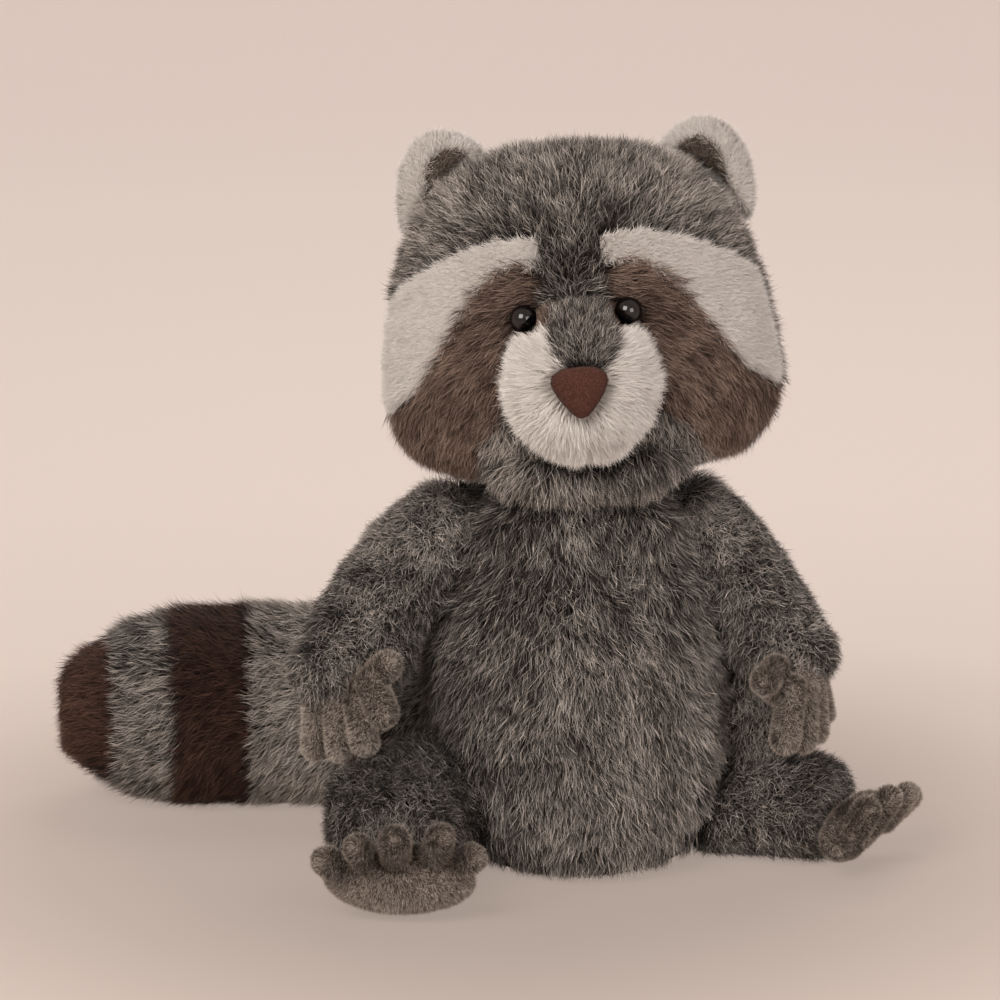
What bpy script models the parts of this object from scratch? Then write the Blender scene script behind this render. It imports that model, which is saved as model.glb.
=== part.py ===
"""Plush raccoon, sitting, built from its sewn and stuffed pieces.

Metres, +Z up, facing -Y. The origin is the middle of the flat patch that the body sits on.
Left and right are the raccoon's own, so its left side is at +X.
The surfaces are the mean outline of the pile, and each piece is one closed solid.
"""

import math

import bmesh
import bpy
from mathutils import Matrix, Vector, noise

# Clearances and cloth
GAP = 0.0003
POCKET_GAP = 0.00045
PILE_DEPTH = 0.0030
TUFT_DEPTH = 0.0007
TUFTS_ACROSS = 5.0
LOCK_PITCH = 0.0070
LOCK_DEPTH = 0.0012
FLOOR_REACH = 0.25

# Body
BODY_HALF_WIDTH = 0.0550
BODY_FRONT = 0.0600
BODY_BACK = 0.0500
BODY_WIDEST_AT = 0.0520
BODY_ABOVE = 0.0980
BODY_BELOW = 0.0580
BODY_SQUARE_ABOVE = 2.2
BODY_SQUARE_BELOW = 3.3

# Head, in a frame of its own that is pitched up, rolled and turned a little to its right
HEAD_PITCH = math.radians(12.0)
HEAD_ROLL = math.radians(4.4)
HEAD_TURN = math.radians(2.2)
HEAD_SHIFT = -0.0003
HEAD_LEAN = -0.0020
HEAD_OVER_BODY = 0.0478
HEAD_HALF_WIDTH = 0.0660
HEAD_NARROWING = 0.163
HEAD_FRONT = 0.0550
HEAD_BACK = 0.0520
HEAD_ABOVE = 0.0575
HEAD_BELOW = 0.0590
HEAD_SQUARE_ABOVE = 3.1
HEAD_SQUARE_BELOW = 3.5
HEAD_ROUNDNESS = 2.2

# Ears
EAR_HALF_WIDTH = 0.0185
EAR_HALF_DEPTH = 0.0075
EAR_HALF_HEIGHT = 0.0205
EAR_NARROWING = 0.24
EAR_INSET = 0.0210
EAR_DROP = 0.0155
EAR_BACK = 0.0040
EAR_SPLAY = math.radians(14.0)
EAR_SQUARE = 2.3
EAR_RIM = 0.0072
EAR_LINING_SHIFT = 0.0020
EAR_LINING_STEPS = 14
EAR_LINING_DEPTH = 0.0030
EAR_LINING_SUNK = 0.0006

# Face
MUZZLE_HALF_WIDTH = 0.0277
MUZZLE_HALF_HEIGHT = 0.0280
MUZZLE_REACH = 0.0310
MUZZLE_SINK = 0.0060
MUZZLE_DROP = 0.0275
BROW_PROUD = 0.0010
BRIDGE_PROUD = 0.0010
BROW_END_RADIUS = 0.0240
BROW_END_MIDDLE = (-0.0080, -0.0125)
BROW_END_STEPS = 10
NOSE_HALF_WIDTH = 0.0085
NOSE_HALF_HEIGHT = 0.0088
NOSE_THICKNESS = 0.0034
NOSE_NARROWING = 0.55
NOSE_DROP = 0.0044
NOSE_SQUARE = 2.3
RUFF_HALF_WIDTH = 0.0370
RUFF_HALF_DEPTH = 0.0200
RUFF_HALF_HEIGHT = 0.0180
RUFF_SINK = 0.0130
RUFF_BELOW_MUZZLE = 0.0250
RUFF_SQUARE = 2.4

# Eyes: a domed plastic eye with a stem, held behind the cloth by a washer
EYE_RADIUS = 0.0050
EYE_DOME = 0.0056
EYE_RIM = 0.0004
EYE_SUNK = 0.0014
EYE_SPACING = 0.0178
EYE_DROP = 0.0048
STEM_RADIUS = 0.0015
STEM_LENGTH = 0.0100
WASHER_RADIUS = 0.0058
WASHER_THICKNESS = 0.0014
WASHER_BEHIND_EYE = 0.0040

# Arms
RIGHT_ARM_RADIUS = 0.0185
LEFT_ARM_RADIUS = 0.0165
ARM_FLATNESS = 0.93
CUFF_FLARE = 1.10
SHOULDER_SINK = 0.0160
SHOULDER_HEIGHT = 0.1270
SHOULDER_FORWARD = 0.0020
ARM_SQUARE = 4.5

# Legs
RIGHT_LEG_RADIUS = 0.0240
LEFT_LEG_RADIUS = 0.0195
HIP_SINK = 0.0240
HIP_FORWARD = 0.0080
LEG_SQUARE = 5.0

# Paws
FINGER_RADIUS = 0.0054
THUMB_RADIUS = 0.0064
TOE_RADIUS = 0.0063
PALM_HALF_WIDTH = 0.0160
PALM_HALF_THICKNESS = 0.0085
PALM_HALF_LENGTH = 0.0120
SOLE_HALF_WIDTH = 0.0265
SOLE_HALF_THICKNESS = 0.0080
SOLE_HALF_LENGTH = 0.0140
PAW_VOXEL = 0.0015
PAW_KEEP = 0.095

# Tail
TAIL_RADIUS = 0.0340
TAIL_SINK = 0.0140
TAIL_SHIFT = -0.0040
TAIL_SQUARE = 3.2
TAIL_FLARE = 0.05
TAIL_TAPER = (0.62, 0.84, 0.98, 1.0, 1.0, 0.95)
TAIL_TIP_BAND = 0.0190
TAIL_BROWN_BAND = 0.0320
TAIL_GREY_BAND = 0.0225
TAIL_IN_BODY = 0.4

# Mesh fineness
BODY_SEGMENTS, BODY_RINGS = 26, 16
HEAD_SEGMENTS, HEAD_RINGS = 28, 18
LIMB_SEGMENTS, LIMB_RINGS = 15, 11
SMALL_SEGMENTS, SMALL_RINGS = 18, 10
MUZZLE_SEGMENTS, MUZZLE_RINGS = 18, 12
NOSE_SEGMENTS, NOSE_RINGS = 16, 8
PAD_SEGMENTS, PAD_RINGS = 16, 10
DIGIT_SEGMENTS, DIGIT_RINGS = 12, 8
TAIL_SEGMENTS, TAIL_RINGS = 16, 22
TURNED_STEPS = 16
DOME_STEPS = 5

# The limbs' middle lines, as steps from the shoulder or the hip. The right leg points forward
# and the left one out to its side.
ARM_STEPS = {
    1: (
        (0.0, 0.0, 0.0),
        (0.0130, -0.0070, -0.0150),
        (0.0245, -0.0130, -0.0320),
        (0.0310, -0.0180, -0.0450),
        (0.0320, -0.0260, -0.0550),
    ),
    -1: (
        (0.0, 0.0, 0.0),
        (-0.0180, -0.0090, -0.0160),
        (-0.0310, -0.0160, -0.0330),
        (-0.0390, -0.0220, -0.0480),
        (-0.0400, -0.0310, -0.0580),
    ),
}
LEG_STEPS = {
    1: (
        (0.0, 0.0, 0.0),
        (0.0240, -0.0020, 0.0),
        (0.0480, -0.0080, 0.0),
        (0.0620, -0.0160, 0.0),
    ),
    -1: (
        (0.0, 0.0, 0.0),
        (-0.0205, -0.0210, 0.0),
        (-0.0325, -0.0430, 0.0),
        (-0.0335, -0.0780, 0.0),
    ),
}

TAIL_STEPS = (
    (0.0, 0.0, 0.0),
    (-0.0300, 0.0260, 0.0),
    (-0.0720, 0.0360, 0.0),
    (-0.1120, 0.0370, 0.0),
    (-0.1500, 0.0340, 0.0),
    (-0.1880, 0.0280, 0.0),
)

# Each digit's base, tip and radius. A hand's are steps from the end of its arm, and a foot's
# from its ankle.
HAND_DIGITS = {
    1: (
        ((-0.0030, -0.0120, 0.0040), (-0.0079, -0.0220, 0.0025), THUMB_RADIUS),
        ((0.0010, -0.0160, -0.0020), (-0.0009, -0.0200, -0.0197), THUMB_RADIUS),
        ((0.0080, -0.0100, -0.0060), (0.0082, -0.0120, -0.0237), FINGER_RADIUS),
        ((0.0130, -0.0040, -0.0080), (0.0135, -0.0060, -0.0228), FINGER_RADIUS),
        ((0.0130, 0.0020, -0.0060), (0.0160, 0.0040, -0.0180), FINGER_RADIUS),
    ),
    -1: (
        ((0.0030, -0.0100, 0.0010), (0.0130, -0.0150, 0.0130), THUMB_RADIUS),
        ((0.0130, -0.0150, 0.0150), (0.0125, -0.0220, -0.0010), THUMB_RADIUS),
        ((0.0020, -0.0110, -0.0030), (0.0057, -0.0170, -0.0154), FINGER_RADIUS),
        ((-0.0040, -0.0050, -0.0070), (-0.0034, -0.0090, -0.0215), FINGER_RADIUS),
        ((-0.0130, 0.0000, -0.0080), (-0.0132, -0.0030, -0.0240), FINGER_RADIUS),
    ),
}
PALM_STEP = {1: (0.0060, -0.0080, -0.0040), -1: (-0.0020, -0.0060, -0.0050)}
PALM_FACING = {1: (-0.35, -1.0, -0.1), -1: (0.35, -1.0, -0.1)}
FOOT_DIGITS = {
    1: (
        ((0.0050, -0.0170, -0.0080), (-0.0015, -0.0230, -0.0025), TOE_RADIUS),
        ((0.0070, -0.0110, -0.0055), (0.0065, -0.0140, 0.0055), TOE_RADIUS),
        ((0.0110, -0.0030, -0.0025), (0.0170, -0.0010, 0.0065), TOE_RADIUS),
        ((0.0160, 0.0050, -0.0035), (0.0240, 0.0100, 0.0045), TOE_RADIUS),
        ((0.0170, 0.0110, -0.0065), (0.0260, 0.0180, -0.0005), TOE_RADIUS),
    ),
    -1: (
        ((-0.0160, -0.0080, -0.0055), (-0.0212, -0.0130, 0.0005), TOE_RADIUS),
        ((-0.0095, -0.0090, 0.0005), (-0.0112, -0.0170, 0.0075), TOE_RADIUS),
        ((0.0010, -0.0100, 0.0015), (0.0008, -0.0190, 0.0105), TOE_RADIUS),
        ((0.0125, -0.0100, 0.0015), (0.0150, -0.0170, 0.0105), TOE_RADIUS),
        ((0.0200, -0.0080, -0.0035), (0.0245, -0.0120, 0.0025), TOE_RADIUS),
    ),
}
SOLE_STEP = {1: (0.0056, -0.0036, -0.0025), -1: (0.0022, -0.0070, -0.0070)}
SOLE_FACING = {1: (0.85, -0.50, -0.15), -1: (-0.10, -1.0, -0.10)}
SOLE_UP = {1: (-0.13, -0.20, 1.0), -1: (0.0, 0.0, 1.0)}

# Outlines on the face, seen from the front in the head's frame, for the left side
BROW_OUTLINE = (
    (0.0098, 0.0220),
    (0.0242, 0.0232),
    (0.0385, 0.0203),
    (0.0528, 0.0150),
    (0.0650, 0.0085),
    (0.0780, 0.0020),
    (0.0780, -0.0285),
    (0.0665, -0.0310),
    (0.0565, -0.0252),
    (0.0498, -0.0172),
    (0.0427, -0.0079),
    (0.0363, 0.0020),
    (0.0285, 0.0087),
    (0.0207, 0.0130),
    (0.0098, 0.0117),
)
CHEEK_OUTLINE = (
    (0.0094, 0.0080),
    (0.0150, 0.0155),
    (0.0250, 0.0175),
    (0.0450, 0.0050),
    (0.0780, -0.0200),
    (0.0780, -0.0640),
    (0.0400, -0.0640),
    (0.0365, -0.0440),
    (0.0260, -0.0360),
    (0.0120, -0.0120),
    (0.0090, 0.0020),
)
BRIDGE_OUTLINE = (
    (-0.0108, 0.0060),
    (0.0108, 0.0060),
    (0.0124, -0.0060),
    (0.0120, -0.0160),
    (0.0085, -0.0245),
    (-0.0085, -0.0245),
    (-0.0120, -0.0160),
    (-0.0124, -0.0060),
)

# The back edge of a cheek, seen from the side: across the head and up it
CHEEK_SIDE = (
    (-0.0700, 0.0600),
    (0.0050, 0.0600),
    (0.0050, -0.0280),
    (-0.0200, -0.0700),
    (-0.0700, -0.0700),
)

GREY_PLUSH = ("grey_plush", (0.098, 0.078, 0.066), 0.95)
WHITE_PLUSH = ("white_plush", (0.503, 0.440, 0.384), 0.90)
BROWN_PLUSH = ("brown_plush", (0.088, 0.055, 0.042), 0.92)
TAIL_BROWN_PLUSH = ("dark_brown_plush", (0.035, 0.018, 0.013), 0.92)
PAW_PLUSH = ("paw_velboa", (0.125, 0.089, 0.068), 0.90)
LINING_PLUSH = ("ear_lining", (0.065, 0.046, 0.036), 0.92)
NOSE_SUEDE = ("nose_suede", (0.086, 0.036, 0.026), 0.80)
EYE_PLASTIC = ("eye_plastic", (0.006, 0.006, 0.007), 0.06)
WASHER_PLASTIC = ("washer_plastic", (0.600, 0.600, 0.580), 0.45)


def clear_scene():
    for obj in list(bpy.data.objects):
        bpy.data.objects.remove(obj, do_unlink=True)


def new_collection(name):
    made = bpy.data.collections.new(name)
    bpy.context.scene.collection.children.link(made)
    return made


def material(kind):
    name, colour, roughness = kind
    made = bpy.data.materials.get(name)
    if made is None:
        made = bpy.data.materials.new(name)
        made.use_nodes = True
        shader = made.node_tree.nodes["Principled BSDF"]
        shader.inputs["Base Color"].default_value = (*colour, 1.0)
        shader.inputs["Roughness"].default_value = roughness
        shader.inputs["Metallic"].default_value = 0.0
    return made


class Workshop:
    """Where the finished pieces and the cutters go, and the head's frame."""

    def __init__(self):
        self.parts = new_collection("plush_raccoon")
        self.cutters = new_collection("cutters")
        self.head_frame = bpy.data.objects.new("head_frame", None)
        self.parts.objects.link(self.head_frame)
        self.head_frame.matrix_world = head_matrix()

    def part(self, name, bm, kind, parent=None):
        return self.place(name, bm, self.parts, kind, parent)

    def cutter(self, name, bm, parent=None):
        made = self.place(name, bm, self.cutters, GREY_PLUSH, parent)
        made.hide_render = True
        made.display_type = "WIRE"
        return made

    def place(self, name, bm, collection, kind, parent):
        bmesh.ops.recalc_face_normals(bm, faces=bm.faces)
        mesh = bpy.data.meshes.new(name)
        bm.to_mesh(mesh)
        bm.free()
        mesh.materials.append(material(kind))
        mesh.shade_smooth()
        made = bpy.data.objects.new(name, mesh)
        collection.objects.link(made)
        made.parent = parent
        return made


def boolean(obj, other, operation="DIFFERENCE"):
    modifier = obj.modifiers.new(f"{operation.lower()}_{other.name}", "BOOLEAN")
    modifier.operation = operation
    modifier.solver = "EXACT"
    modifier.object = other
    return modifier


def head_matrix():
    """Where the middle of the head is, and how it is turned."""
    height = BODY_WIDEST_AT + BODY_ABOVE + HEAD_OVER_BODY
    place = Matrix.Translation((HEAD_SHIFT, HEAD_LEAN, height))
    turn = Matrix.Rotation(-HEAD_TURN, 4, "Z")
    pitch = Matrix.Rotation(-HEAD_PITCH, 4, "X")
    roll = Matrix.Rotation(-HEAD_ROLL, 4, "Y")
    return place @ pitch @ turn @ roll


def signed_power(value, power):
    return math.copysign(abs(value) ** power, value)


def tuft(unit):
    """How far the pile stands out at a place on a ball, as short locks that run down it."""
    place = Vector((unit.x * TUFTS_ACROSS, unit.y * TUFTS_ACROSS, unit.z * TUFTS_ACROSS / 2))
    return TUFT_DEPTH * noise.noise(place)


def ball(
    centre,
    half_width,
    front,
    back,
    above,
    below,
    square_above=2.0,
    square_below=2.0,
    roundness=2.0,
    narrowing=0.0,
    grow=0.0,
    tufted=True,
    segments=SMALL_SEGMENTS,
    rings=SMALL_RINGS,
):
    """A sphere shaped into a stuffed ball, with a half-size of its own each way.

    square_above and square_below make its upper and lower half boxier seen from the front, and
    roundness, over 2, its level sections. narrowing takes it in towards the top.
    """
    bm = bmesh.new()
    bmesh.ops.create_uvsphere(bm, u_segments=segments, v_segments=rings, radius=1.0)
    for vert in bm.verts:
        unit = vert.co.copy()
        out = grow + (tuft(unit) if tufted else 0.0)
        level = max(-1.0, min(1.0, unit.z))
        power = square_above if level > 0 else square_below
        spread = max(0.0, 1.0 - abs(level) ** power) ** (1.0 / power)
        ring = math.hypot(unit.x, unit.y)
        across = unit.x / ring if ring > 1e-6 else 0.0
        along = unit.y / ring if ring > 1e-6 else 0.0
        height = level * ((above if level > 0 else below) + out)
        width = half_width - narrowing * height + out
        depth = (back if along > 0 else front) + out
        vert.co = Vector((
            spread * width * signed_power(across, 2.0 / roundness),
            spread * depth * signed_power(along, 2.0 / roundness),
            height,
        )) + Vector(centre)
    return bm


def smooth_path(points, share):
    """A point on a smooth curve through the points, and the way it runs there."""
    spans = len(points) - 1
    at = min(max(share, 0.0), 1.0) * spans
    first = min(int(at), spans - 1)
    t = at - first
    p1, p2 = Vector(points[first]), Vector(points[first + 1])
    p0 = Vector(points[first - 1]) if first else p1 * 2 - p2
    p3 = Vector(points[first + 2]) if first + 2 <= spans else p2 * 2 - p1
    m1, m2 = (p2 - p0) / 2, (p3 - p1) / 2
    place = (
        p1 * (2 * t**3 - 3 * t**2 + 1)
        + m1 * (t**3 - 2 * t**2 + t)
        + p2 * (3 * t**2 - 2 * t**3)
        + m2 * (t**3 - t**2)
    )
    way = (
        p1 * (6 * t**2 - 6 * t)
        + m1 * (3 * t**2 - 4 * t + 1)
        + p2 * (6 * t - 6 * t**2)
        + m2 * (3 * t**2 - 2 * t)
    )
    return place, way.normalized()


def blend_of(values, share):
    """The value at a share of the way along a list of values."""
    at = min(max(share, 0.0), 1.0) * (len(values) - 1)
    first = min(int(at), len(values) - 2)
    t = at - first
    t = t * t * (3 - 2 * t)
    return values[first] * (1 - t) + values[first + 1] * t


def tube(
    points,
    sides,
    thicks,
    upright,
    square=4.0,
    grow=0.0,
    segments=LIMB_SEGMENTS,
    rings=LIMB_RINGS,
    flare=None,
):
    """A sphere stretched along a smooth path into a stuffed limb with rounded ends."""
    bm = bmesh.new()
    bmesh.ops.create_uvsphere(bm, u_segments=segments, v_segments=rings, radius=1.0)
    for vert in bm.verts:
        unit = vert.co.copy()
        level = max(-1.0, min(1.0, unit.z))
        share = (1.0 - level) / 2
        place, way = smooth_path(points, share)
        side = way.cross(Vector(upright)).normalized()
        lift = side.cross(way).normalized()
        ring = math.hypot(unit.x, unit.y)
        across = unit.x / ring if ring > 1e-6 else 0.0
        along = unit.y / ring if ring > 1e-6 else 0.0
        spread = max(0.0, 1.0 - abs(level) ** square) ** (1.0 / square)
        more = 1.0 if flare is None else flare(share)
        out = grow + tuft(unit)
        vert.co = (
            place
            - way * level * out
            + side * across * spread * (blend_of(sides, share) * more + out)
            + lift * along * spread * (blend_of(thicks, share) * more + out)
        )
    return bm


def cut_level(bm, height=0.0):
    """Cuts off what is below a height, and closes the cut with one flat face."""
    geometry = bm.verts[:] + bm.edges[:] + bm.faces[:]
    bmesh.ops.bisect_plane(
        bm, geom=geometry, plane_co=(0, 0, height), plane_no=(0, 0, -1), clear_outer=True
    )
    close_holes(bm)
    return bm


def close_holes(bm):
    rim = [edge for edge in bm.edges if edge.is_boundary]
    if rim:
        bmesh.ops.contextual_create(bm, geom=rim)


def mirrored(outline):
    return tuple((-x, z) for x, z in reversed(outline))


def turning(outline):
    """1 for an outline that goes round anticlockwise, -1 for one that goes clockwise."""
    area = sum(a[0] * b[1] - b[0] * a[1] for a, b in zip(outline, outline[1:] + outline[:1]))
    return 1.0 if area > 0 else -1.0


def edge_outward(start, end, turn):
    run = (Vector(end) - Vector(start)).normalized()
    return Vector((run.y, -run.x)) * turn


def widened(outline, by):
    """The outline with each of its edges moved out by the same distance."""
    turn = turning(outline)
    made = []
    for index, point in enumerate(outline):
        before = edge_outward(outline[index - 1], point, turn)
        after = edge_outward(point, outline[(index + 1) % len(outline)], turn)
        made.append(tuple(Vector(point) + (before + after) * by / (1 + before.dot(after))))
    return tuple(made)


def ragged(outline):
    """The outline with the short locks of pile that its edge shows."""
    turn = turning(outline)
    made = []
    for start, end in zip(outline, outline[1:] + outline[:1]):
        inward = -edge_outward(start, end, turn)
        start, end = Vector(start), Vector(end)
        locks = max(1, round((end - start).length / LOCK_PITCH))
        for lock in range(locks):
            made.append(tuple(start.lerp(end, lock / locks)))
            made.append(tuple(start.lerp(end, (lock + 0.5) / locks) + inward * LOCK_DEPTH))
    return tuple(made)


def prism(outline, near, far, sideways=False):
    """A flat outline pulled out from near to far, along Y or, for one seen sideways, along X."""
    bm = bmesh.new()
    corners = [(near, a, b) if sideways else (a, near, b) for a, b in outline]
    face = bm.faces.new([bm.verts.new(corner) for corner in corners])
    pulled = bmesh.ops.extrude_face_region(bm, geom=[face])
    verts = [item for item in pulled["geom"] if isinstance(item, bmesh.types.BMVert)]
    way = (far - near, 0, 0) if sideways else (0, far - near, 0)
    bmesh.ops.translate(bm, verts=verts, vec=way)
    return bm


def brow_side():
    """A brow's rounded end, seen from the side: across the head and up it."""
    middle_y, middle_z = BROW_END_MIDDLE
    arc = [math.radians(90 - 180 * step / BROW_END_STEPS) for step in range(BROW_END_STEPS + 1)]
    end = [
        (middle_y + BROW_END_RADIUS * math.cos(angle), middle_z + BROW_END_RADIUS * math.sin(angle))
        for angle in arc
    ]
    front = -(HEAD_FRONT + PILE_DEPTH * 4)
    return (
        (front, HEAD_ABOVE),
        (middle_y, HEAD_ABOVE),
        *end,
        (middle_y, -HEAD_BELOW),
        (front, -HEAD_BELOW),
    )


def head_form(grow=0.0):
    return ball(
        (0, 0, 0),
        HEAD_HALF_WIDTH,
        HEAD_FRONT,
        HEAD_BACK,
        HEAD_ABOVE,
        HEAD_BELOW,
        HEAD_SQUARE_ABOVE,
        HEAD_SQUARE_BELOW,
        HEAD_ROUNDNESS,
        HEAD_NARROWING,
        grow,
        segments=HEAD_SEGMENTS,
        rings=HEAD_RINGS,
    )


def muzzle_centre():
    return Vector((0, -(HEAD_FRONT - MUZZLE_SINK), -MUZZLE_DROP))


def muzzle_form(grow=0.0):
    return ball(
        muzzle_centre(),
        MUZZLE_HALF_WIDTH,
        MUZZLE_REACH,
        MUZZLE_REACH,
        MUZZLE_HALF_HEIGHT,
        MUZZLE_HALF_HEIGHT,
        grow=grow,
        segments=MUZZLE_SEGMENTS,
        rings=MUZZLE_RINGS,
    )


def ruff_form(grow=0.0):
    centre = muzzle_centre() + Vector((0, MUZZLE_SINK + RUFF_SINK, -RUFF_BELOW_MUZZLE))
    return ball(
        centre,
        RUFF_HALF_WIDTH,
        RUFF_HALF_DEPTH,
        RUFF_HALF_DEPTH,
        RUFF_HALF_HEIGHT,
        RUFF_HALF_HEIGHT,
        square_above=RUFF_SQUARE,
        square_below=RUFF_SQUARE,
        grow=grow,
    )


def body_form(grow=0.0):
    return ball(
        (0, 0, BODY_WIDEST_AT),
        BODY_HALF_WIDTH,
        BODY_FRONT,
        BODY_BACK,
        BODY_ABOVE,
        BODY_BELOW,
        BODY_SQUARE_ABOVE,
        BODY_SQUARE_BELOW,
        grow=grow,
        segments=BODY_SEGMENTS,
        rings=BODY_RINGS,
    )


def arm_points(side):
    """The middle of an arm from shoulder to cuff, where it bends forward."""
    across = side * (BODY_HALF_WIDTH - SHOULDER_SINK)
    start = Vector((across, -SHOULDER_FORWARD, SHOULDER_HEIGHT))
    return [start + Vector(step) for step in ARM_STEPS[side]]


def arm_form(side, grow=0.0):
    radius = LEFT_ARM_RADIUS if side > 0 else RIGHT_ARM_RADIUS
    wide = [radius, radius, radius, radius * CUFF_FLARE, radius * CUFF_FLARE]
    thick = [value * ARM_FLATNESS for value in wide]
    return tube(arm_points(side), wide, thick, (0, 1, 0), ARM_SQUARE, grow)


def leg_radius(side):
    return LEFT_LEG_RADIUS if side > 0 else RIGHT_LEG_RADIUS


def leg_points(side):
    """The middle of a leg from hip to ankle."""
    start = Vector((side * (BODY_HALF_WIDTH - HIP_SINK), -HIP_FORWARD, leg_radius(side)))
    return [start + Vector(step) for step in LEG_STEPS[side]]


def leg_form(side, grow=0.0):
    radii = [leg_radius(side)] * 4
    return cut_level(tube(leg_points(side), radii, radii, (0, 0, 1), LEG_SQUARE, grow))


def capsule(start, end, radius):
    """A finger or toe: a sphere drawn out from its base to its tip."""
    bm = bmesh.new()
    bmesh.ops.create_uvsphere(
        bm, u_segments=DIGIT_SEGMENTS, v_segments=DIGIT_RINGS, radius=radius
    )
    start, end = Vector(start), Vector(end)
    turn = Vector((0, 0, 1)).rotation_difference(end - start).to_matrix()
    for vert in bm.verts:
        vert.co = turn @ vert.co + (end if vert.co.z > 0 else start)
    return bm


def pad(centre, half_sizes, turn):
    """The flat cushion of a palm or sole."""
    bm = bmesh.new()
    bmesh.ops.create_uvsphere(bm, u_segments=PAD_SEGMENTS, v_segments=PAD_RINGS, radius=1.0)
    for vert in bm.verts:
        vert.co = turn @ Vector(a * b for a, b in zip(vert.co, half_sizes)) + Vector(centre)
    return bm


def joined(shapes):
    together = bmesh.new()
    for shape in shapes:
        mesh = bpy.data.meshes.new("shape")
        shape.to_mesh(mesh)
        shape.free()
        together.from_mesh(mesh)
        bpy.data.meshes.remove(mesh)
    return together


def facing(normal, upward):
    """A turn that takes X across, Y along the normal and Z up a pad."""
    normal = Vector(normal).normalized()
    across = normal.cross(Vector(upward)).normalized()
    rise = across.cross(normal).normalized()
    return Matrix((across, normal, rise)).transposed()


def sewn_in_one(obj):
    """Fuses overlapping stuffed shapes into one soft skin."""
    fuse = obj.modifiers.new("fuse", "REMESH")
    fuse.mode = "VOXEL"
    fuse.voxel_size = PAW_VOXEL
    fewer = obj.modifiers.new("fewer_faces", "DECIMATE")
    fewer.ratio = PAW_KEEP
    return obj


def paw(root, digits, cushion):
    digits = [
        capsule(root + Vector(base), root + Vector(tip), radius)
        for base, tip, radius in digits
    ]
    return joined([cushion, *digits])


def tail_points():
    """The middle of the tail: out of the back, then along the floor to the raccoon's right."""
    rest = TAIL_RADIUS * (1 + TAIL_FLARE)
    start = Vector((TAIL_SHIFT, BODY_BACK - TAIL_SINK, rest))
    return [start + Vector(step) for step in TAIL_STEPS]


def tail_form(band, bands, grow=0.0):
    """The whole tail, with its pile lifting towards the tip end of one band."""
    start, end = bands[band]
    radii = [TAIL_RADIUS * share for share in TAIL_TAPER]

    def flare(share):
        inside = (share - start) / (end - start)
        return 1.0 + TAIL_FLARE * min(max(inside, 0.0), 1.0)

    bm = tube(
        tail_points(),
        radii,
        radii,
        (0, 0, 1),
        TAIL_SQUARE,
        grow,
        TAIL_SEGMENTS,
        TAIL_RINGS,
        flare,
    )
    return cut_level(bm, 0.0)


def path_length(points, steps=60):
    places = [smooth_path(points, step / steps)[0] for step in range(steps + 1)]
    return sum((b - a).length for a, b in zip(places, places[1:]))


def tail_bands():
    """The bands' shares of the path and their names, from the root to the tip."""
    length = path_length(tail_points())
    widths = [TAIL_TIP_BAND]
    while sum(widths) < length - TAIL_GREY_BAND:
        widths.append(TAIL_BROWN_BAND if len(widths) % 2 == 0 else TAIL_GREY_BAND)
    at, found = length, []
    for index, width in enumerate(widths):
        start = 0.0 if index == len(widths) - 1 else at - width
        found.append((start / length, at / length))
        at -= width
    return found


def tail_band(bands, index):
    bm = tail_form(index, bands)
    points = tail_points()
    half_gap = GAP / 2
    for share, keep, last in ((bands[index][0], 1, 0.0), (bands[index][1], -1, 1.0)):
        if share == last:
            continue
        place, way = smooth_path(points, share)
        geometry = bm.verts[:] + bm.edges[:] + bm.faces[:]
        bmesh.ops.bisect_plane(
            bm,
            geom=geometry,
            plane_co=place + way * keep * half_gap,
            plane_no=-way * keep,
            clear_outer=True,
        )
        close_holes(bm)
    return bm


def turned(name, collection, profile, kind, closed):
    """A round plastic piece: a profile spun about its own Z with a Screw modifier."""
    mesh = bpy.data.meshes.new(name)
    last = len(profile) - 1
    edges = [(i, i + 1) for i in range(last)] + ([(last, 0)] if closed else [])
    mesh.from_pydata([(r, 0, z) for r, z in profile], edges, [])
    mesh.materials.append(material(kind))
    made = bpy.data.objects.new(name, mesh)
    collection.objects.link(made)
    spin = made.modifiers.new("spin", "SCREW")
    spin.axis = "Z"
    spin.steps = TURNED_STEPS
    spin.render_steps = TURNED_STEPS
    spin.use_merge_vertices = True
    spin.merge_threshold = 0.00001
    spin.use_smooth_shade = True
    return made


def eye_profile(grow=0.0):
    """Down the outside of an eye: its dome, its flat back and its stem."""
    dome = [
        ((EYE_RADIUS + grow) * math.sin(angle), (EYE_DOME + grow) * math.cos(angle))
        for angle in (math.radians(90 * step / DOME_STEPS) for step in range(1, DOME_STEPS + 1))
    ]
    stem = STEM_RADIUS + grow
    back = -EYE_RIM - grow
    return [
        (0.0, EYE_DOME + grow),
        *dome,
        (EYE_RADIUS + grow, back),
        (stem, back),
        (stem, -STEM_LENGTH - grow),
        (0.0, -STEM_LENGTH - grow),
    ]


def washer_profile():
    hole = STEM_RADIUS + GAP
    top = -WASHER_BEHIND_EYE
    bottom = top - WASHER_THICKNESS
    return [(hole, top), (WASHER_RADIUS, top), (WASHER_RADIUS, bottom), (hole, bottom)]


def washer_room_profile():
    """A round pocket a gap larger than the washer all round."""
    radius = WASHER_RADIUS + GAP
    top = -WASHER_BEHIND_EYE + GAP
    bottom = -WASHER_BEHIND_EYE - WASHER_THICKNESS - GAP
    return [(0.0, top), (radius, top), (radius, bottom), (0.0, bottom)]


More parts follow.
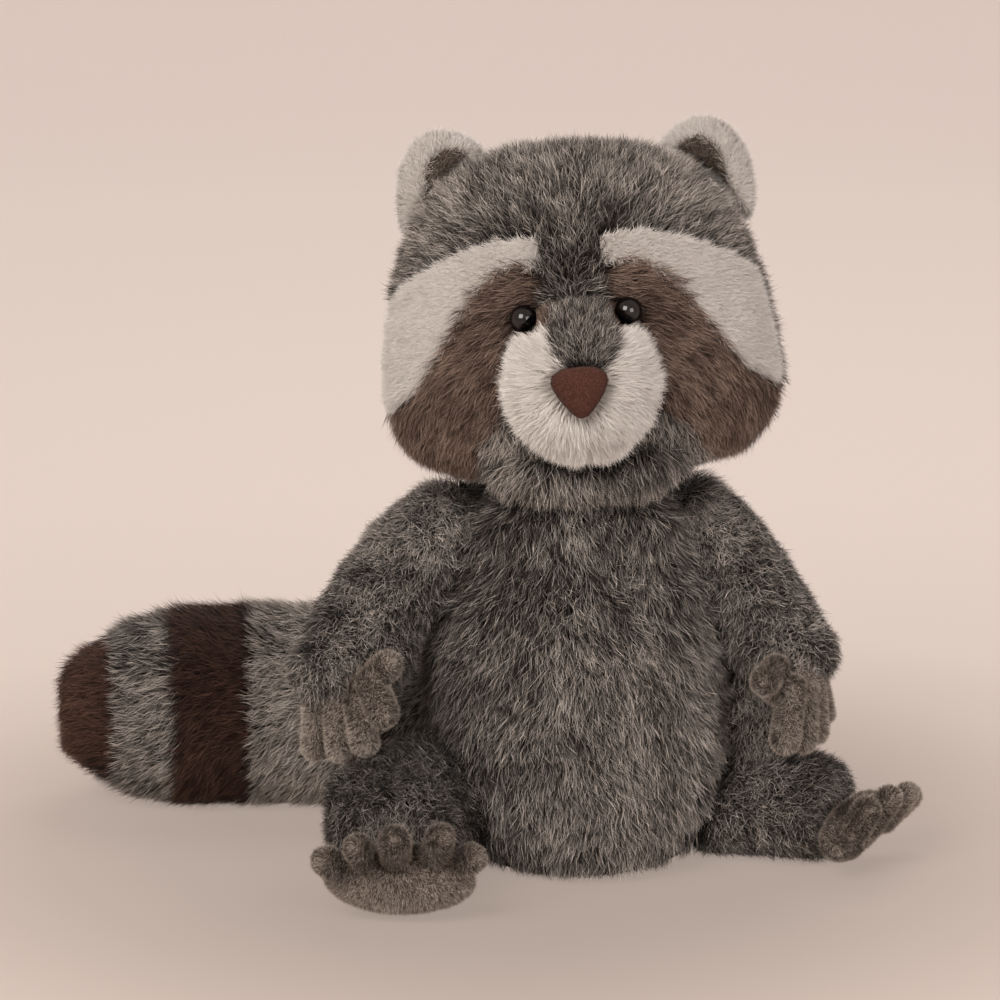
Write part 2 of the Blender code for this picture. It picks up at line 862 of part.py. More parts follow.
def head_surface(x, z, grow=0.0):
    """How far forward the head's face reaches at a place below its middle."""
    drop = abs(z / HEAD_BELOW) ** HEAD_SQUARE_BELOW
    spread = (1 - drop) ** (1 / HEAD_SQUARE_BELOW)
    width = spread * (HEAD_HALF_WIDTH - HEAD_NARROWING * z)
    share = (1 - abs(x / width) ** HEAD_ROUNDNESS) ** (1 / HEAD_ROUNDNESS)
    return -(spread * HEAD_FRONT * share + grow)


def side_name(side):
    return "left" if side > 0 else "right"


def eye_place(side):
    x, z = side * EYE_SPACING, -EYE_DROP
    return Vector((x, head_surface(x, z, -EYE_SUNK), z))


def make_eyes(shop):
    """Both eyes with their washers, and the cutters that make room for them."""
    rooms = {1: [], -1: []}
    for side, side_rooms in rooms.items():
        label = side_name(side)
        made = [
            turned(f"eye_{label}", shop.parts, eye_profile(), EYE_PLASTIC, False),
            turned(f"eye_washer_{label}", shop.parts, washer_profile(), WASHER_PLASTIC, True),
        ]
        for name, profile in (("eye", eye_profile(GAP)), ("washer", washer_room_profile())):
            room = turned(f"{name}_room_{label}", shop.cutters, profile, EYE_PLASTIC, False)
            room.hide_render = True
            room.display_type = "WIRE"
            side_rooms.append(room)
        for piece in made + side_rooms:
            piece.parent = shop.head_frame
            piece.location = eye_place(side)
            piece.rotation_euler.x = math.radians(90)
    return rooms


def ear_matrix(side):
    place = Vector((side * (HEAD_HALF_WIDTH - EAR_INSET), EAR_BACK, HEAD_ABOVE - EAR_DROP))
    return Matrix.Translation(place) @ Matrix.Rotation(side * EAR_SPLAY, 4, "Y")


def ear_form(side, grow=0.0):
    bm = ball(
        (0, 0, 0),
        EAR_HALF_WIDTH,
        EAR_HALF_DEPTH,
        EAR_HALF_DEPTH,
        EAR_HALF_HEIGHT,
        EAR_HALF_HEIGHT,
        square_above=EAR_SQUARE,
        square_below=EAR_SQUARE,
        narrowing=EAR_NARROWING,
        grow=grow,
    )
    bmesh.ops.transform(bm, matrix=ear_matrix(side), verts=bm.verts)
    return bm


def lining_outline(inset):
    """The ear's own outline seen from the front, taken in by its rim."""
    half_height = EAR_HALF_HEIGHT - inset
    made = []
    for step in range(EAR_LINING_STEPS):
        angle = 2 * math.pi * (step + 0.5) / EAR_LINING_STEPS
        level = math.sin(angle)
        spread = (1 - abs(level) ** EAR_SQUARE) ** (1 / EAR_SQUARE)
        height = half_height * level
        width = EAR_HALF_WIDTH - EAR_NARROWING * height - inset
        made.append((math.copysign(spread * width, math.cos(angle)), height))
    return tuple(made)


def lining_cut(side, reach, inset):
    """What takes the dark cloth inside an ear out of its front, down to a depth."""
    bm = prism(lining_outline(inset), -EAR_HALF_DEPTH * 2, reach - EAR_HALF_DEPTH)
    bmesh.ops.translate(bm, verts=bm.verts, vec=(-side * EAR_LINING_SHIFT, 0, 0))
    bmesh.ops.transform(bm, matrix=ear_matrix(side), verts=bm.verts)
    return bm


def nose_form(grow=0.0):
    centre = muzzle_centre() + Vector((0, -MUZZLE_REACH, -NOSE_DROP))
    return ball(
        centre,
        NOSE_HALF_WIDTH,
        NOSE_THICKNESS,
        NOSE_THICKNESS * 2,
        NOSE_HALF_HEIGHT,
        NOSE_HALF_HEIGHT,
        square_above=NOSE_SQUARE,
        square_below=NOSE_SQUARE,
        narrowing=-NOSE_NARROWING,
        grow=grow,
        tufted=False,
        segments=NOSE_SEGMENTS,
        rings=NOSE_RINGS,
    )


def make_head(shop):
    """The head with its sewn patches, muzzle, nose, ears and eyes."""
    frame = shop.head_frame
    head_room = shop.cutter("head_room", head_form(GAP), frame)
    core = shop.cutter("head_core", head_form(-PILE_DEPTH), frame)
    core_room = shop.cutter("head_core_room", head_form(-PILE_DEPTH - GAP), frame)
    muzzle_room = shop.cutter("muzzle_room", muzzle_form(GAP), frame)
    eye_rooms = make_eyes(shop)

    head = shop.part("head", head_form(), GREY_PLUSH, frame)
    muzzle = shop.part("muzzle", muzzle_form(), WHITE_PLUSH, frame)
    boolean(muzzle, head_room)
    for side in (1, -1):
        cheek, room = make_face_side(shop, side, core, core_room)
        boolean(head, room)
        for eye_room in eye_rooms[side]:
            boolean(head, eye_room)
            boolean(cheek, eye_room)
        boolean(muzzle, eye_rooms[side][0])

    make_bridge(shop, frame, muzzle, head_room)
    make_ruff(shop, frame, head_room, muzzle_room)
    make_ears(shop, frame, head_room)
    nose = shop.part("nose", nose_form(), NOSE_SUEDE, frame)
    boolean(nose, muzzle_room)
    return head_room


def patch_cut(shop, name, front_outline, side_outline, grow=0.0):
    """Where a patch lies: inside its outline from the front and its outline from the side."""
    front = -(HEAD_FRONT + PILE_DEPTH * 4)
    reach = HEAD_HALF_WIDTH * 2
    cut = shop.cutter(name, prism(front_outline, front - grow, HEAD_BACK), shop.head_frame)
    side = prism(widened(side_outline, grow), -reach, reach, sideways=True)
    boolean(cut, shop.cutter(f"{name}_side", side, shop.head_frame), "INTERSECT")
    return cut


def make_face_side(shop, side, core, core_room):
    """One white brow and one brown cheek, and the shallow pocket that they lie in."""
    frame = shop.head_frame
    label = side_name(side)
    brow_outline = BROW_OUTLINE if side > 0 else mirrored(BROW_OUTLINE)
    cheek_outline = CHEEK_OUTLINE if side > 0 else mirrored(CHEEK_OUTLINE)
    brow_edge = ragged(brow_outline)
    brow_cut = patch_cut(shop, f"brow_cut_{label}", brow_edge, brow_side())
    brow_room = patch_cut(
        shop, f"brow_room_{label}", widened(brow_edge, GAP), brow_side(), GAP
    )
    cheek_cut = patch_cut(shop, f"cheek_cut_{label}", cheek_outline, CHEEK_SIDE)
    pocket = patch_cut(
        shop, f"cheek_room_{label}", widened(cheek_outline, GAP), CHEEK_SIDE, POCKET_GAP
    )
    brow = shop.part(f"brow_patch_{label}", head_form(BROW_PROUD), WHITE_PLUSH, frame)
    boolean(brow, brow_cut, "INTERSECT")
    boolean(brow, core)
    cheek = shop.part(f"cheek_patch_{label}", head_form(), BROWN_PLUSH, frame)
    boolean(cheek, cheek_cut, "INTERSECT")
    boolean(cheek, brow_room)
    boolean(cheek, core)
    boolean(pocket, brow_room, "UNION")
    boolean(pocket, core_room)
    return cheek, pocket


def make_bridge(shop, frame, muzzle, head_room):
    """The grey patch on top of the muzzle, let into it above the nose."""
    near = muzzle_centre().y - MUZZLE_REACH - PILE_DEPTH * 2
    far = muzzle_centre().y + MUZZLE_SINK
    nose_room = shop.cutter("nose_room", nose_form(GAP), frame)
    edge = ragged(BRIDGE_OUTLINE)
    cut = shop.cutter("bridge_cut", prism(edge, near, far), frame)
    room = shop.cutter("bridge_room", prism(widened(edge, GAP), near - GAP, far + GAP), frame)
    core = shop.cutter("muzzle_core", muzzle_form(-PILE_DEPTH), frame)
    core_room = shop.cutter("muzzle_core_room", muzzle_form(-PILE_DEPTH - GAP), frame)
    boolean(room, core_room)
    boolean(muzzle, room)
    bridge = shop.part("muzzle_bridge", muzzle_form(BRIDGE_PROUD), GREY_PLUSH, frame)
    boolean(bridge, cut, "INTERSECT")
    boolean(bridge, core)
    boolean(bridge, head_room)
    boolean(bridge, nose_room)


def make_ruff(shop, frame, head_room, muzzle_room):
    ruff = shop.part("chin_ruff", ruff_form(), GREY_PLUSH, frame)
    boolean(ruff, head_room)
    boolean(ruff, muzzle_room)


def make_ears(shop, frame, head_room):
    for side in (1, -1):
        label = side_name(side)
        ear = shop.part(f"ear_{label}", ear_form(side), WHITE_PLUSH, frame)
        cut = shop.cutter(
            f"lining_cut_{label}", lining_cut(side, EAR_LINING_DEPTH, EAR_RIM), frame
        )
        room = shop.cutter(
            f"lining_room_{label}", lining_cut(side, EAR_LINING_DEPTH + GAP, EAR_RIM - GAP), frame
        )
        boolean(ear, room)
        boolean(ear, head_room)
        lining = shop.part(
            f"ear_lining_{label}", ear_form(side, -EAR_LINING_SUNK), LINING_PLUSH, frame
        )
        boolean(lining, cut, "INTERSECT")
        boolean(lining, head_room)


def make_body(shop, head_room):
    ruff_room = shop.cutter("ruff_room", ruff_form(GAP), shop.head_frame)
    body = shop.part("body", cut_level(body_form()), GREY_PLUSH)
    boolean(body, head_room)
    boolean(body, ruff_room)
    return shop.cutter("body_room", body_form(GAP))


def make_limbs(shop, head_room, body_room):
    floor = bmesh.new()
    bmesh.ops.create_cube(floor, size=2 * FLOOR_REACH)
    bmesh.ops.translate(floor, verts=floor.verts, vec=(0, 0, -FLOOR_REACH))
    floor = shop.cutter("floor", floor)
    for side in (1, -1):
        label = side_name(side)
        arm = shop.part(f"arm_{label}", arm_form(side), GREY_PLUSH)
        boolean(arm, body_room)
        boolean(arm, head_room)
        leg = shop.part(f"leg_{label}", leg_form(side), GREY_PLUSH)
        boolean(leg, body_room)

        wrist = arm_points(side)[-1]
        palm = pad(
            wrist + Vector(PALM_STEP[side]),
            (PALM_HALF_WIDTH, PALM_HALF_THICKNESS, PALM_HALF_LENGTH),
            facing(PALM_FACING[side], (0, 0, 1)),
        )
        hand = shop.part(f"hand_{label}", paw(wrist, HAND_DIGITS[side], palm), PAW_PLUSH)
        sewn_in_one(hand)
        boolean(hand, shop.cutter(f"arm_room_{label}", arm_form(side, GAP)))

        ankle = leg_points(side)[-1]
        sole = pad(
            ankle + Vector(SOLE_STEP[side]),
            (SOLE_HALF_WIDTH, SOLE_HALF_THICKNESS, SOLE_HALF_LENGTH),
            facing(SOLE_FACING[side], SOLE_UP[side]),
        )
        foot = shop.part(f"foot_{label}", paw(ankle, FOOT_DIGITS[side], sole), PAW_PLUSH)
        sewn_in_one(foot)
        boolean(foot, shop.cutter(f"leg_room_{label}", leg_form(side, GAP)))
        boolean(foot, floor)


def make_tail(shop, body_room):
    bands = tail_bands()
    for index in range(len(bands)):
        from_root = len(bands) - index
        brown = index % 2 == 0
        name = "tail_tip" if index == 0 else f"tail_{'brown' if brown else 'grey'}_band_{from_root}"
        kind = TAIL_BROWN_PLUSH if brown else GREY_PLUSH
        band = shop.part(name, tail_band(bands, index), kind)
        if bands[index][0] < TAIL_IN_BODY:
            boolean(band, body_room)


def main():
    clear_scene()
    shop = Workshop()
    head_room = make_head(shop)
    body_room = make_body(shop, head_room)
    make_limbs(shop, head_room, body_room)
    make_tail(shop, body_room)


main()
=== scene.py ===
"""Plush raccoon: stuffed skins, long and short pile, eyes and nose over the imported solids.

Metres, +Z up, facing -Y. Left and right are the raccoon's own, so its left side is at +X.
"""

import math
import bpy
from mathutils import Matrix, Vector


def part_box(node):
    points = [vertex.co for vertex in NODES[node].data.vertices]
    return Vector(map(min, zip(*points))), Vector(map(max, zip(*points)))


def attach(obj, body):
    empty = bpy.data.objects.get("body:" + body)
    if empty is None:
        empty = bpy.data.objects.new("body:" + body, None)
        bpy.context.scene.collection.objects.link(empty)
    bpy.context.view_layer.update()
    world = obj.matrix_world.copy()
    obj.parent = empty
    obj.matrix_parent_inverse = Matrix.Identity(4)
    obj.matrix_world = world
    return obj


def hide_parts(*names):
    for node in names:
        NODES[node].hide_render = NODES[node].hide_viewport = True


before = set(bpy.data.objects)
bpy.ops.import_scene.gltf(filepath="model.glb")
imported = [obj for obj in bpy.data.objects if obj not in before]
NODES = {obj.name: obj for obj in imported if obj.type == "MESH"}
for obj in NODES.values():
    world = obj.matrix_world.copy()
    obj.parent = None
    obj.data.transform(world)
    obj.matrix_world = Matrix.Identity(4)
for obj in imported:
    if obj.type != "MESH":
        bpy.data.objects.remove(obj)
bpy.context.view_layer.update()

import zlib
from collections import namedtuple

import bmesh
import bpy
import numpy as np
from bpy.props import FloatProperty, FloatVectorProperty, PointerProperty
from mathutils import Euler, Matrix, Vector
from mathutils.bvhtree import BVHTree
from mathutils.kdtree import KDTree

bl_info = {
    "name": "Plush raccoon",
    "version": (1, 0, 0),
    "blender": (4, 5, 0),
    "location": "3D View > Sidebar > Plush Raccoon",
    "description": "Dresses the raccoon's solids in stuffed skins, pile cloth, eyes and a nose",
    "category": "Object",
}

MM = 0.001
SIDES = ("left", "right")

# The head's own frame, in which the face looks along -Y
HEAD_FRAME = (
    Matrix.Translation((-0.0003, -0.0020, 0.1978))
    @ Matrix.Rotation(math.radians(-12.0), 4, "X")
    @ Matrix.Rotation(math.radians(-2.2), 4, "Z")
    @ Matrix.Rotation(math.radians(-4.4), 4, "Y")
)
MUZZLE_MIDDLE = (0.0, -0.0600, -0.0275)
NOSE_MIDDLE = (0.0, -0.0780, -0.0310)
CROWN_POLE = (0.0, -0.0600, -0.0020)

# The middle lines of the limbs and the tail in mm, which their pile runs along
ARM_LINES = {
    "left": ((39, -2, 127), (52, -9, 112), (63.5, -15, 95), (70, -20, 82), (71, -28, 72)),
    "right": ((-39, -2, 127), (-57, -11, 111), (-70, -18, 94), (-78, -24, 79), (-79, -33, 69)),
}
LEG_LINES = {
    "left": ((31, -8, 19.5), (55, -10, 19.5), (79, -16, 19.5), (93, -24, 19.5)),
    "right": ((-31, -8, 24), (-51.5, -29, 24), (-63.5, -51, 24), (-64.5, -86, 24)),
}
TAIL_LINE = ((-4, 36, 35.7), (-34, 62, 35.7), (-76, 72, 35.7), (-116, 73, 35.7),
             (-154, 70, 35.7), (-192, 64, 35.7))
LIMBS = (("arm", "hand", ARM_LINES), ("leg", "foot", LEG_LINES))
TAIL_NODES = ("tail_brown_band_1", "tail_grey_band_2", "tail_brown_band_3", "tail_grey_band_4",
              "tail_brown_band_5", "tail_grey_band_6", "tail_tip")

# A stuffed skin: the solids that it stands for, its voxel, how far it lies inside the pile's
# mean outline, how often it is smoothed, and how full it is
SKINS = {
    "body": (("body",), 0.0028, 0.0046, 8, 0.8),
    "head": (("head", "brow_patch_left", "brow_patch_right", "cheek_patch_left",
              "cheek_patch_right"), 0.0024, 0.0052, 8, 0.85),
    "muzzle": (("muzzle", "muzzle_bridge"), 0.0016, 0.0048, 8, 0.85),
    "chin_ruff": (("chin_ruff",), 0.0020, 0.0060, 12, 0.6),
    "tail": (TAIL_NODES, 0.0028, 0.0018, 8, 0.7),
    "nose": (("nose",), 0.0005, 0.0002, 4, 0.6),
}
for side in SIDES:
    SKINS[f"ear_{side}"] = ((f"ear_{side}", f"ear_lining_{side}"), 0.0011, 0.0008, 8, 0.5)
    SKINS[f"arm_{side}"] = ((f"arm_{side}",), 0.0020, 0.0032, 8, 0.7)
    SKINS[f"leg_{side}"] = ((f"leg_{side}",), 0.0022, 0.0034, 8, 0.75)
    SKINS[f"hand_{side}"] = ((f"hand_{side}",), 0.0007, 0.0010, 2, 0.75)
    SKINS[f"foot_{side}"] = ((f"foot_{side}",), 0.0008, 0.0010, 2, 0.8)

# Where a skin lies less deep, under the shorter pile of its patches
INSETS = {"brow_patch": 0.0010, "cheek_patch": 0.0038, "ear_lining": 0.0012}

# The stuffed shapes of a paw in mm, as steps from the end of its limb's middle line: its
# cushion's middle, half sizes and facing, and each digit's base, tip and radius
PAWS = {
    "hand_left": (
        (3.5, -6, -3), (12, 7, 9.5), (-0.35, -1.0, -0.1),
        (((-2, -12, 4), (-6.4, -22.5, 2.2), 5),
         ((3.5, -16.5, -2), (0.8, -23.5, -18.5), 5.1),
         ((8.5, -9, -4), (8.2, -13, -21.5), 4.6),
         ((12, -2, -6), (13, -5, -20.5), 4.4),
         ((14, 5, -5), (16.5, 5, -16.5), 4)),
    ),
    "hand_right": (
        (-2, -3, -1), (13.5, 6.5, 9.5), (0.35, -1.0, -0.1),
        (((3, -10, 1), (12, -16, 10.5), 5.2),
         ((6, -15, 4), (10.3, -23, -4.5), 5.5),
         ((1, -11, -3), (4, -18, -16.5), 5),
         ((-6.5, -6, -6), (-5, -11, -21), 4.7),
         ((-14, -1, -8), (-14, -4.5, -22.5), 4.5)),
    ),
    "foot_left": (
        (5.6, -3, -4.5), (24.5, 6, 11.5), (0.85, -0.50, -0.15),
        (((3, -13, -8.5), (-1.9, -23.5, -6.2), 5),
         ((3.5, -17.5, -3.5), (8.3, -20.5, 5.8), 5.1),
         ((11, -9, -2.5), (17, -11, 7.8), 4.5),
         ((16.5, 0, -3.5), (24.2, 1, 5.8), 4.3),
         ((17, 11, -6.5), (27, 18, 0.5), 4.6)),
    ),
    "foot_right": (
        (2.2, -6, -8.5), (26.2, 8, 12.5), (-0.10, -1.0, -0.10),
        (((-16, -8, -5.5), (-22, -15.5, 0.5), 5.1),
         ((-10, -10, -1), (-11.2, -20.5, 6.5), 5),
         ((1, -11, 0.5), (1.2, -22.5, 9.5), 5.3),
         ((14, -11, 0), (16.5, -20.5, 10), 5),
         ((21, -8, -4.5), (27, -14.5, 1), 5.1)),
    ),
}

# Stuffing that swells a skin beyond its solid, under its pile: each ball's middle and half
# sizes in mm
SWELLS = {
    "arm_left": (((64, -10, 53), (13, 12, 23)), ((80, -26, 78.5), (11.5, 13, 11.5))),
    "arm_right": (((-89.5, -34, 74.5), (12, 13, 12.5)),),
    "leg_right": (((-75.5, -58, 33), (13, 16, 13)),),
    "body": (((40, -4, 127), (14, 15, 12)), ((-43, -4, 125.5), (12, 13, 10.5)),
             ((1, -28, 124), (34, 19, 21))),
}

# How far a skin is moved from its solids
SHIFTS = {
    "chin_ruff": (0.0, 0.0040, 0.0),
    "ear_left": (0.0012, -0.0090, 0.0018),
    "ear_right": (0.0026, -0.0090, 0.0046),
    "tail": (0.0, -0.0080, 0.0),
}

# Where a skin is drawn in round what is sewn on it: those solids, how deep and how far from them
DENTS = {
    "head": (("ear_lining_left", "ear_lining_right"), 0.0050, 0.0180),
    "tail": (("tail_tip",), 0.0034, 0.0140),
}

# Where the cloths' borders leave their solids': how far round the left and right patches reach,
# by their normals' Y, the throat's line, the bridge, the mask beside it and a grey tail band
PATCH_TURNS = (-0.20, 0.35)
THROAT_START, THROAT_TOP, THROAT_SLOPE = 0.0280, -0.0375, 1.14
BRIDGE_MIDDLE, BRIDGE_HALF, BRIDGE_TOP, BRIDGE_ROUND = 0.0027, 0.0120, -0.0100, 0.0172
MASK_LOW, MASK_RIM, MASK_DEPTH = -0.0105, 0.0022, 0.0080
GREY_BAND_END = -0.0885

# How far towards the tip a tail's strand changes colour, because its own tip lies that far on
TAIL_LEAN = 0.0052

# How light each pile is on average, from its darkest strands at 0 to its lightest at 1; the right
# ear's lining is lighter than the left's by painted light, on the side the light comes from
SHADES = {
    "body": 0.28, "crown": 0.26, "brow": 0.40, "cheek": 0.37, "muzzle": 0.43, "bridge": 0.13,
    "mask": 0.15, "ruff": 0.27, "ear": 0.32, "lining_left": 0.35, "lining_right": 0.60,
    "arm": 0.27, "leg": 0.24, "hand": 0.76, "foot": 0.52, "grey_band": 0.42, "brown_band": 0.36,
    "nose": 0.35,
}
# How much lighter some tail bands are than the others of their colour: the grey band beside the
# body by painted light, where the body and arm keep light off it, and the tip
BAND_LIGHT = {"tail_grey_band_4": 0.30, "tail_tip": 0.16}

# How strands differ: the share that fly loose, and the spread of lengths, of rises, of a tuft's
# shade and of a strand's own, and of the blades' turns
FLY_SHARE = 0.04
LENGTH_SPREAD, ROOT_SPREAD, TIP_SPREAD = 0.14, 0.14, 0.18
TUFT_TONES, STRAND_TONES = 0.11, 0.34
BLADE_TURNS = 0.5
FLOOR_GAP = 0.0004
# Piles shorter than this have straight strands
SHORT = 0.0050

# The eyes, whose stems go through the cloth to their washers
EYE_RADIUS = 0.0050
EYE_DOME = 0.0056
EYE_RIM = 0.0004
STEM_RADIUS = 0.0015
STEM_LENGTH = 0.0100

# The camera, and the lamps: name, place, size, watts and colour
AIM = Vector((-0.0278, 0.0, 0.128))
DISTANCE = 1.49
ELEVATION = math.radians(12.0)
LAMPS = (
    ("key", (-0.8, -1.4, 1.2), 1.1, 36, "#FFFDFA"),
    ("fill", (0.9, -1.4, 0.6), 0.9, 13, "#FDFDFF"),
    ("back", (0.2, 0.9, 1.5), 0.9, 13, "#FFFFFF"),
)
WORLD_STRENGTH = 0.56

# The paper: its shades by distance from the toy in metres, a painted shadow darkest near the toy
# and paling away from it, and how much of them is its own light, a painted glow
PAPER_PLAIN = "#D5CCC5"
PAPER_GLOW = 0.75
PAPER_FAR = 2.6
PAPER_SHADOW_AND_GLOW = (
    (0.06, "#B6A69C"), (0.12, "#B9A99F"), (0.16, "#C0AFA5"), (0.20, "#CAB8AD"),
    (0.26, "#D8C6BB"), (0.34, "#E1CFC4"), (0.62, "#E5D3C9"), (1.25, "#E7D5CB"),
    (1.75, "#EAD8CE"), (2.5, "#E8D3C9"),
)


# What a user would change


def settings_group(key, fields, values):
    """A property group, named for its key, with each field's default."""
    made = {}
    for (field, measure, meaning), value in zip(fields, values):
        choices = {
            "mm": lambda: {"default": value * MM, "unit": "LENGTH"},
            "degrees": lambda: {"default": math.radians(value), "subtype": "ANGLE"},
            "colour": lambda: {"default": linear(value), "subtype": "COLOR", "min": 0, "max": 1},
        }.get(measure, lambda: {"default": value})()
        kind = FloatVectorProperty if measure == "colour" else FloatProperty
        label = field.replace("_", " ").capitalize()
        made[field] = kind(name=label, description=meaning, **choices)
    name = "".join(word.capitalize() for word in key.split("_"))
    return type(name, (bpy.types.PropertyGroup,), {"__annotations__": made})


def linear(hex_colour):
    """An sRGB hex colour as linear red, green and blue."""
    parts = [int(hex_colour[i:i + 2], 16) / 255 for i in (1, 3, 5)]
    return tuple(p / 12.92 if p <= 0.04045 else ((p + 0.055) / 1.055) ** 2.4 for p in parts)


PILE_FIELDS = (
    ("length", "mm", "Length of a strand"),
    ("width", "mm", "Width of a strand's root"),
    ("per_mm2", "", "Strands on a square millimetre"),
    ("root_rise", "degrees", "Angle of a strand's root to the skin"),
    ("tip_rise", "degrees", "Angle of a strand's tip to the skin"),
    ("gather", "", "How far tips draw together, from 0 to 1"),
    ("tuft", "mm", "Distance between tufts"),
    ("curl", "mm", "Sideways bend of a strand"),
    ("stray", "degrees", "How far strands turn from the nap"),
)
PILES = {
    "body_pile": (9.8, 0.33, 2.6, 58, 30, 0.48, 3.2, 1.0, 24),
    "crown_pile": (9.0, 0.32, 3.0, 62, 38, 0.45, 3.0, 1.1, 27),
    "limb_pile": (7.0, 0.30, 3.6, 62, 30, 0.38, 2.4, 1.4, 50),
    "tail_pile": (10.5, 0.34, 2.4, 56, 28, 0.45, 3.6, 1.0, 20),
    "ruff_pile": (11.5, 0.32, 3.0, 48, 16, 0.55, 4.0, 1.0, 22),
    "cheek_pile": (9.0, 0.28, 3.6, 50, 22, 0.35, 3.0, 0.7, 17),
    "brow_pile": (4.2, 0.26, 9.0, 50, 34, 0.0, 3.0, 0.3, 45),
    "muzzle_pile": (8.0, 0.28, 5.6, 58, 30, 0.35, 2.8, 0.6, 14),
    "bridge_pile": (7.0, 0.28, 4.8, 62, 38, 0.40, 2.4, 0.9, 30),
    "ear_pile": (4.0, 0.26, 10.0, 50, 34, 0.0, 2.5, 0.3, 45),
    "paw_pile": (2.4, 0.24, 11.0, 56, 42, 0.25, 1.2, 0.3, 50),
    "nose_pile": (0.7, 0.20, 14.0, 50, 34, 0.0, 1.0, 0.05, 40),
}
COLOUR_FIELDS = (
    ("root", "colour", "Colour of the roots"),
    ("dark", "colour", "Colour of the darkest tips"),
    ("light", "colour", "Colour of the lightest tips"),
)
COLOURS = {
    "grey": ("#100B09", "#1F1713", "#E6D8CC"),
    "white": ("#B2A79E", "#D0C7C0", "#F0E9E3"),
    "brown": ("#21150F", "#3B2A21", "#B09484"),
    "dark_brown": ("#180D0A", "#281712", "#6C4E40"),
    "taupe": ("#33271F", "#69584D", "#E4D3C4"),
    "lining": ("#241A15", "#4A3C32", "#A59486"),
    "suede": ("#3A201A", "#48291F", "#664034"),
}
GROUPS = {
    key: settings_group(f"{key}{ending}", fields, values)
    for table, ending, fields in ((PILES, "", PILE_FIELDS), (COLOURS, "_colours", COLOUR_FIELDS))
    for key, values in table.items()
}


class RaccoonSettings(bpy.types.PropertyGroup):
    """Every pile's sizes and colours."""

    __annotations__ = {
        key: PointerProperty(type=kind, name=key.replace("_", " ").capitalize())
        for key, kind in GROUPS.items()
    }


def settings():
    return bpy.context.scene.plush_raccoon


# Nodes and materials


def socket_of(sockets, name):
    if isinstance(name, int):
        return sockets[name]
    return next(s for s in sockets if name in (s.identifier, s.name))


def add_node(tree, kind, output, inputs=(), **choices):
    """Adds a node with its settings and inputs, and returns one of its outputs."""
    node = tree.nodes.new(f"ShaderNode{kind}")
    for name, value in choices.items():
        setattr(node, name, value)
    set_inputs(tree, node, inputs)
    return socket_of(node.outputs, output)


def set_inputs(tree, node, inputs):
    """Sets a node's inputs to values, or links them to outputs."""
    for name, value in dict(inputs).items():
        if isinstance(value, bpy.types.NodeSocket):
            tree.links.new(value, socket_of(node.inputs, name))
        else:
            socket_of(node.inputs, name).default_value = value


def new_material(name):
    """A material with only its Principled shader, and that shader's tree."""
    made = bpy.data.materials.new(name)
    made.use_nodes = True
    return made, made.node_tree


def set_shader(tree, **inputs):
    """Sets the Principled shader's inputs to values, or links them to outputs."""
    named = {name.replace("_", " "): value for name, value in inputs.items()}
    set_inputs(tree, tree.nodes["Principled BSDF"], named)


def mixed(first, second, share):
    return tuple(a * (1 - share) + b * share for a, b in zip(first, second))


def mix(tree, share, first, second):
    inputs = {"Factor_Float": share, "A_Color": first, "B_Color": second}
    return add_node(tree, "Mix", "Result_Color", inputs, data_type="RGBA")


def ramp(tree, value, stops):
    """A Color Ramp's colour output, from (place, linear colour) stops."""
    colour = add_node(tree, "ValToRGB", "Color", {"Fac": value})
    elements = colour.node.color_ramp.elements
    while len(elements) < len(stops):
        elements.new(1.0)
    for element, (place, shade) in zip(elements, stops):
        element.position = place
        element.color = (*shade, 1.0)
    return colour


def noise(tree, scale, detail=2.0, stretch=None):
    """Noise on the piece's own coordinates, which may be stretched first."""
    place = add_node(tree, "TexCoord", "Object")
    if stretch:
        place = add_node(tree, "Mapping", "Vector", {"Vector": place, "Scale": stretch})
    inputs = {"Vector": place, "Scale": scale, "Detail": detail}
    return add_node(tree, "TexNoise", "Fac", inputs)


def bump(tree, height, strength, distance):
    inputs = {"Height": height, "Strength": strength, "Distance": distance}
    return add_node(tree, "Bump", "Normal", inputs)


def pile_material(name, colours):
    """Polyester pile, dark at its roots. U picks a darker or lighter strand, V runs up it."""
    found = bpy.data.materials.get(name)
    if found:
        return found
    made, tree = new_material(name)
    place = add_node(tree, "UVMap", "UV", uv_map="OFBake")
    lightness = add_node(tree, "SeparateXYZ", "X", {"Vector": place})
    height = lightness.node.outputs["Y"]
    root, dark, light = (tuple(c) for c in (colours.root, colours.dark, colours.light))
    dark_stops = [(0.0, root), (0.6, mixed(root, dark, 0.5)), (1.0, dark)]
    light_stops = [(0.0, root), (0.45, mixed(root, light, 0.22)), (0.9, light), (1.0, light)]
    colour = mix(tree, lightness, ramp(tree, height, dark_stops), ramp(tree, height, light_stops))
    set_shader(tree, Base_Color=colour, Roughness=0.75, Specular_IOR_Level=0.15)
    set_shader(tree, Sheen_Weight=0.05, Sheen_Roughness=0.4)
    return made


def backing_material(name, colours):
    """Knitted backing under the pile: the roots' colour in streaks 0.6 mm wide, drawn 2 mm long."""
    found = bpy.data.materials.get(name)
    if found:
        return found
    made, tree = new_material(name)
    streaks = noise(tree, 1.0, stretch=(1 / (0.6 * MM), 1 / (0.6 * MM), 1 / (2 * MM)))
    root, dark = tuple(colours.root), tuple(colours.dark)
    colour = ramp(tree, streaks, [(0.3, mixed(root, dark, 0.1)), (0.7, mixed(root, dark, 0.7))])
    set_shader(tree, Base_Color=colour, Normal=bump(tree, streaks, 0.6, 0.4 * MM))
    set_shader(tree, Roughness=0.9, Specular_IOR_Level=0.2)
    return made


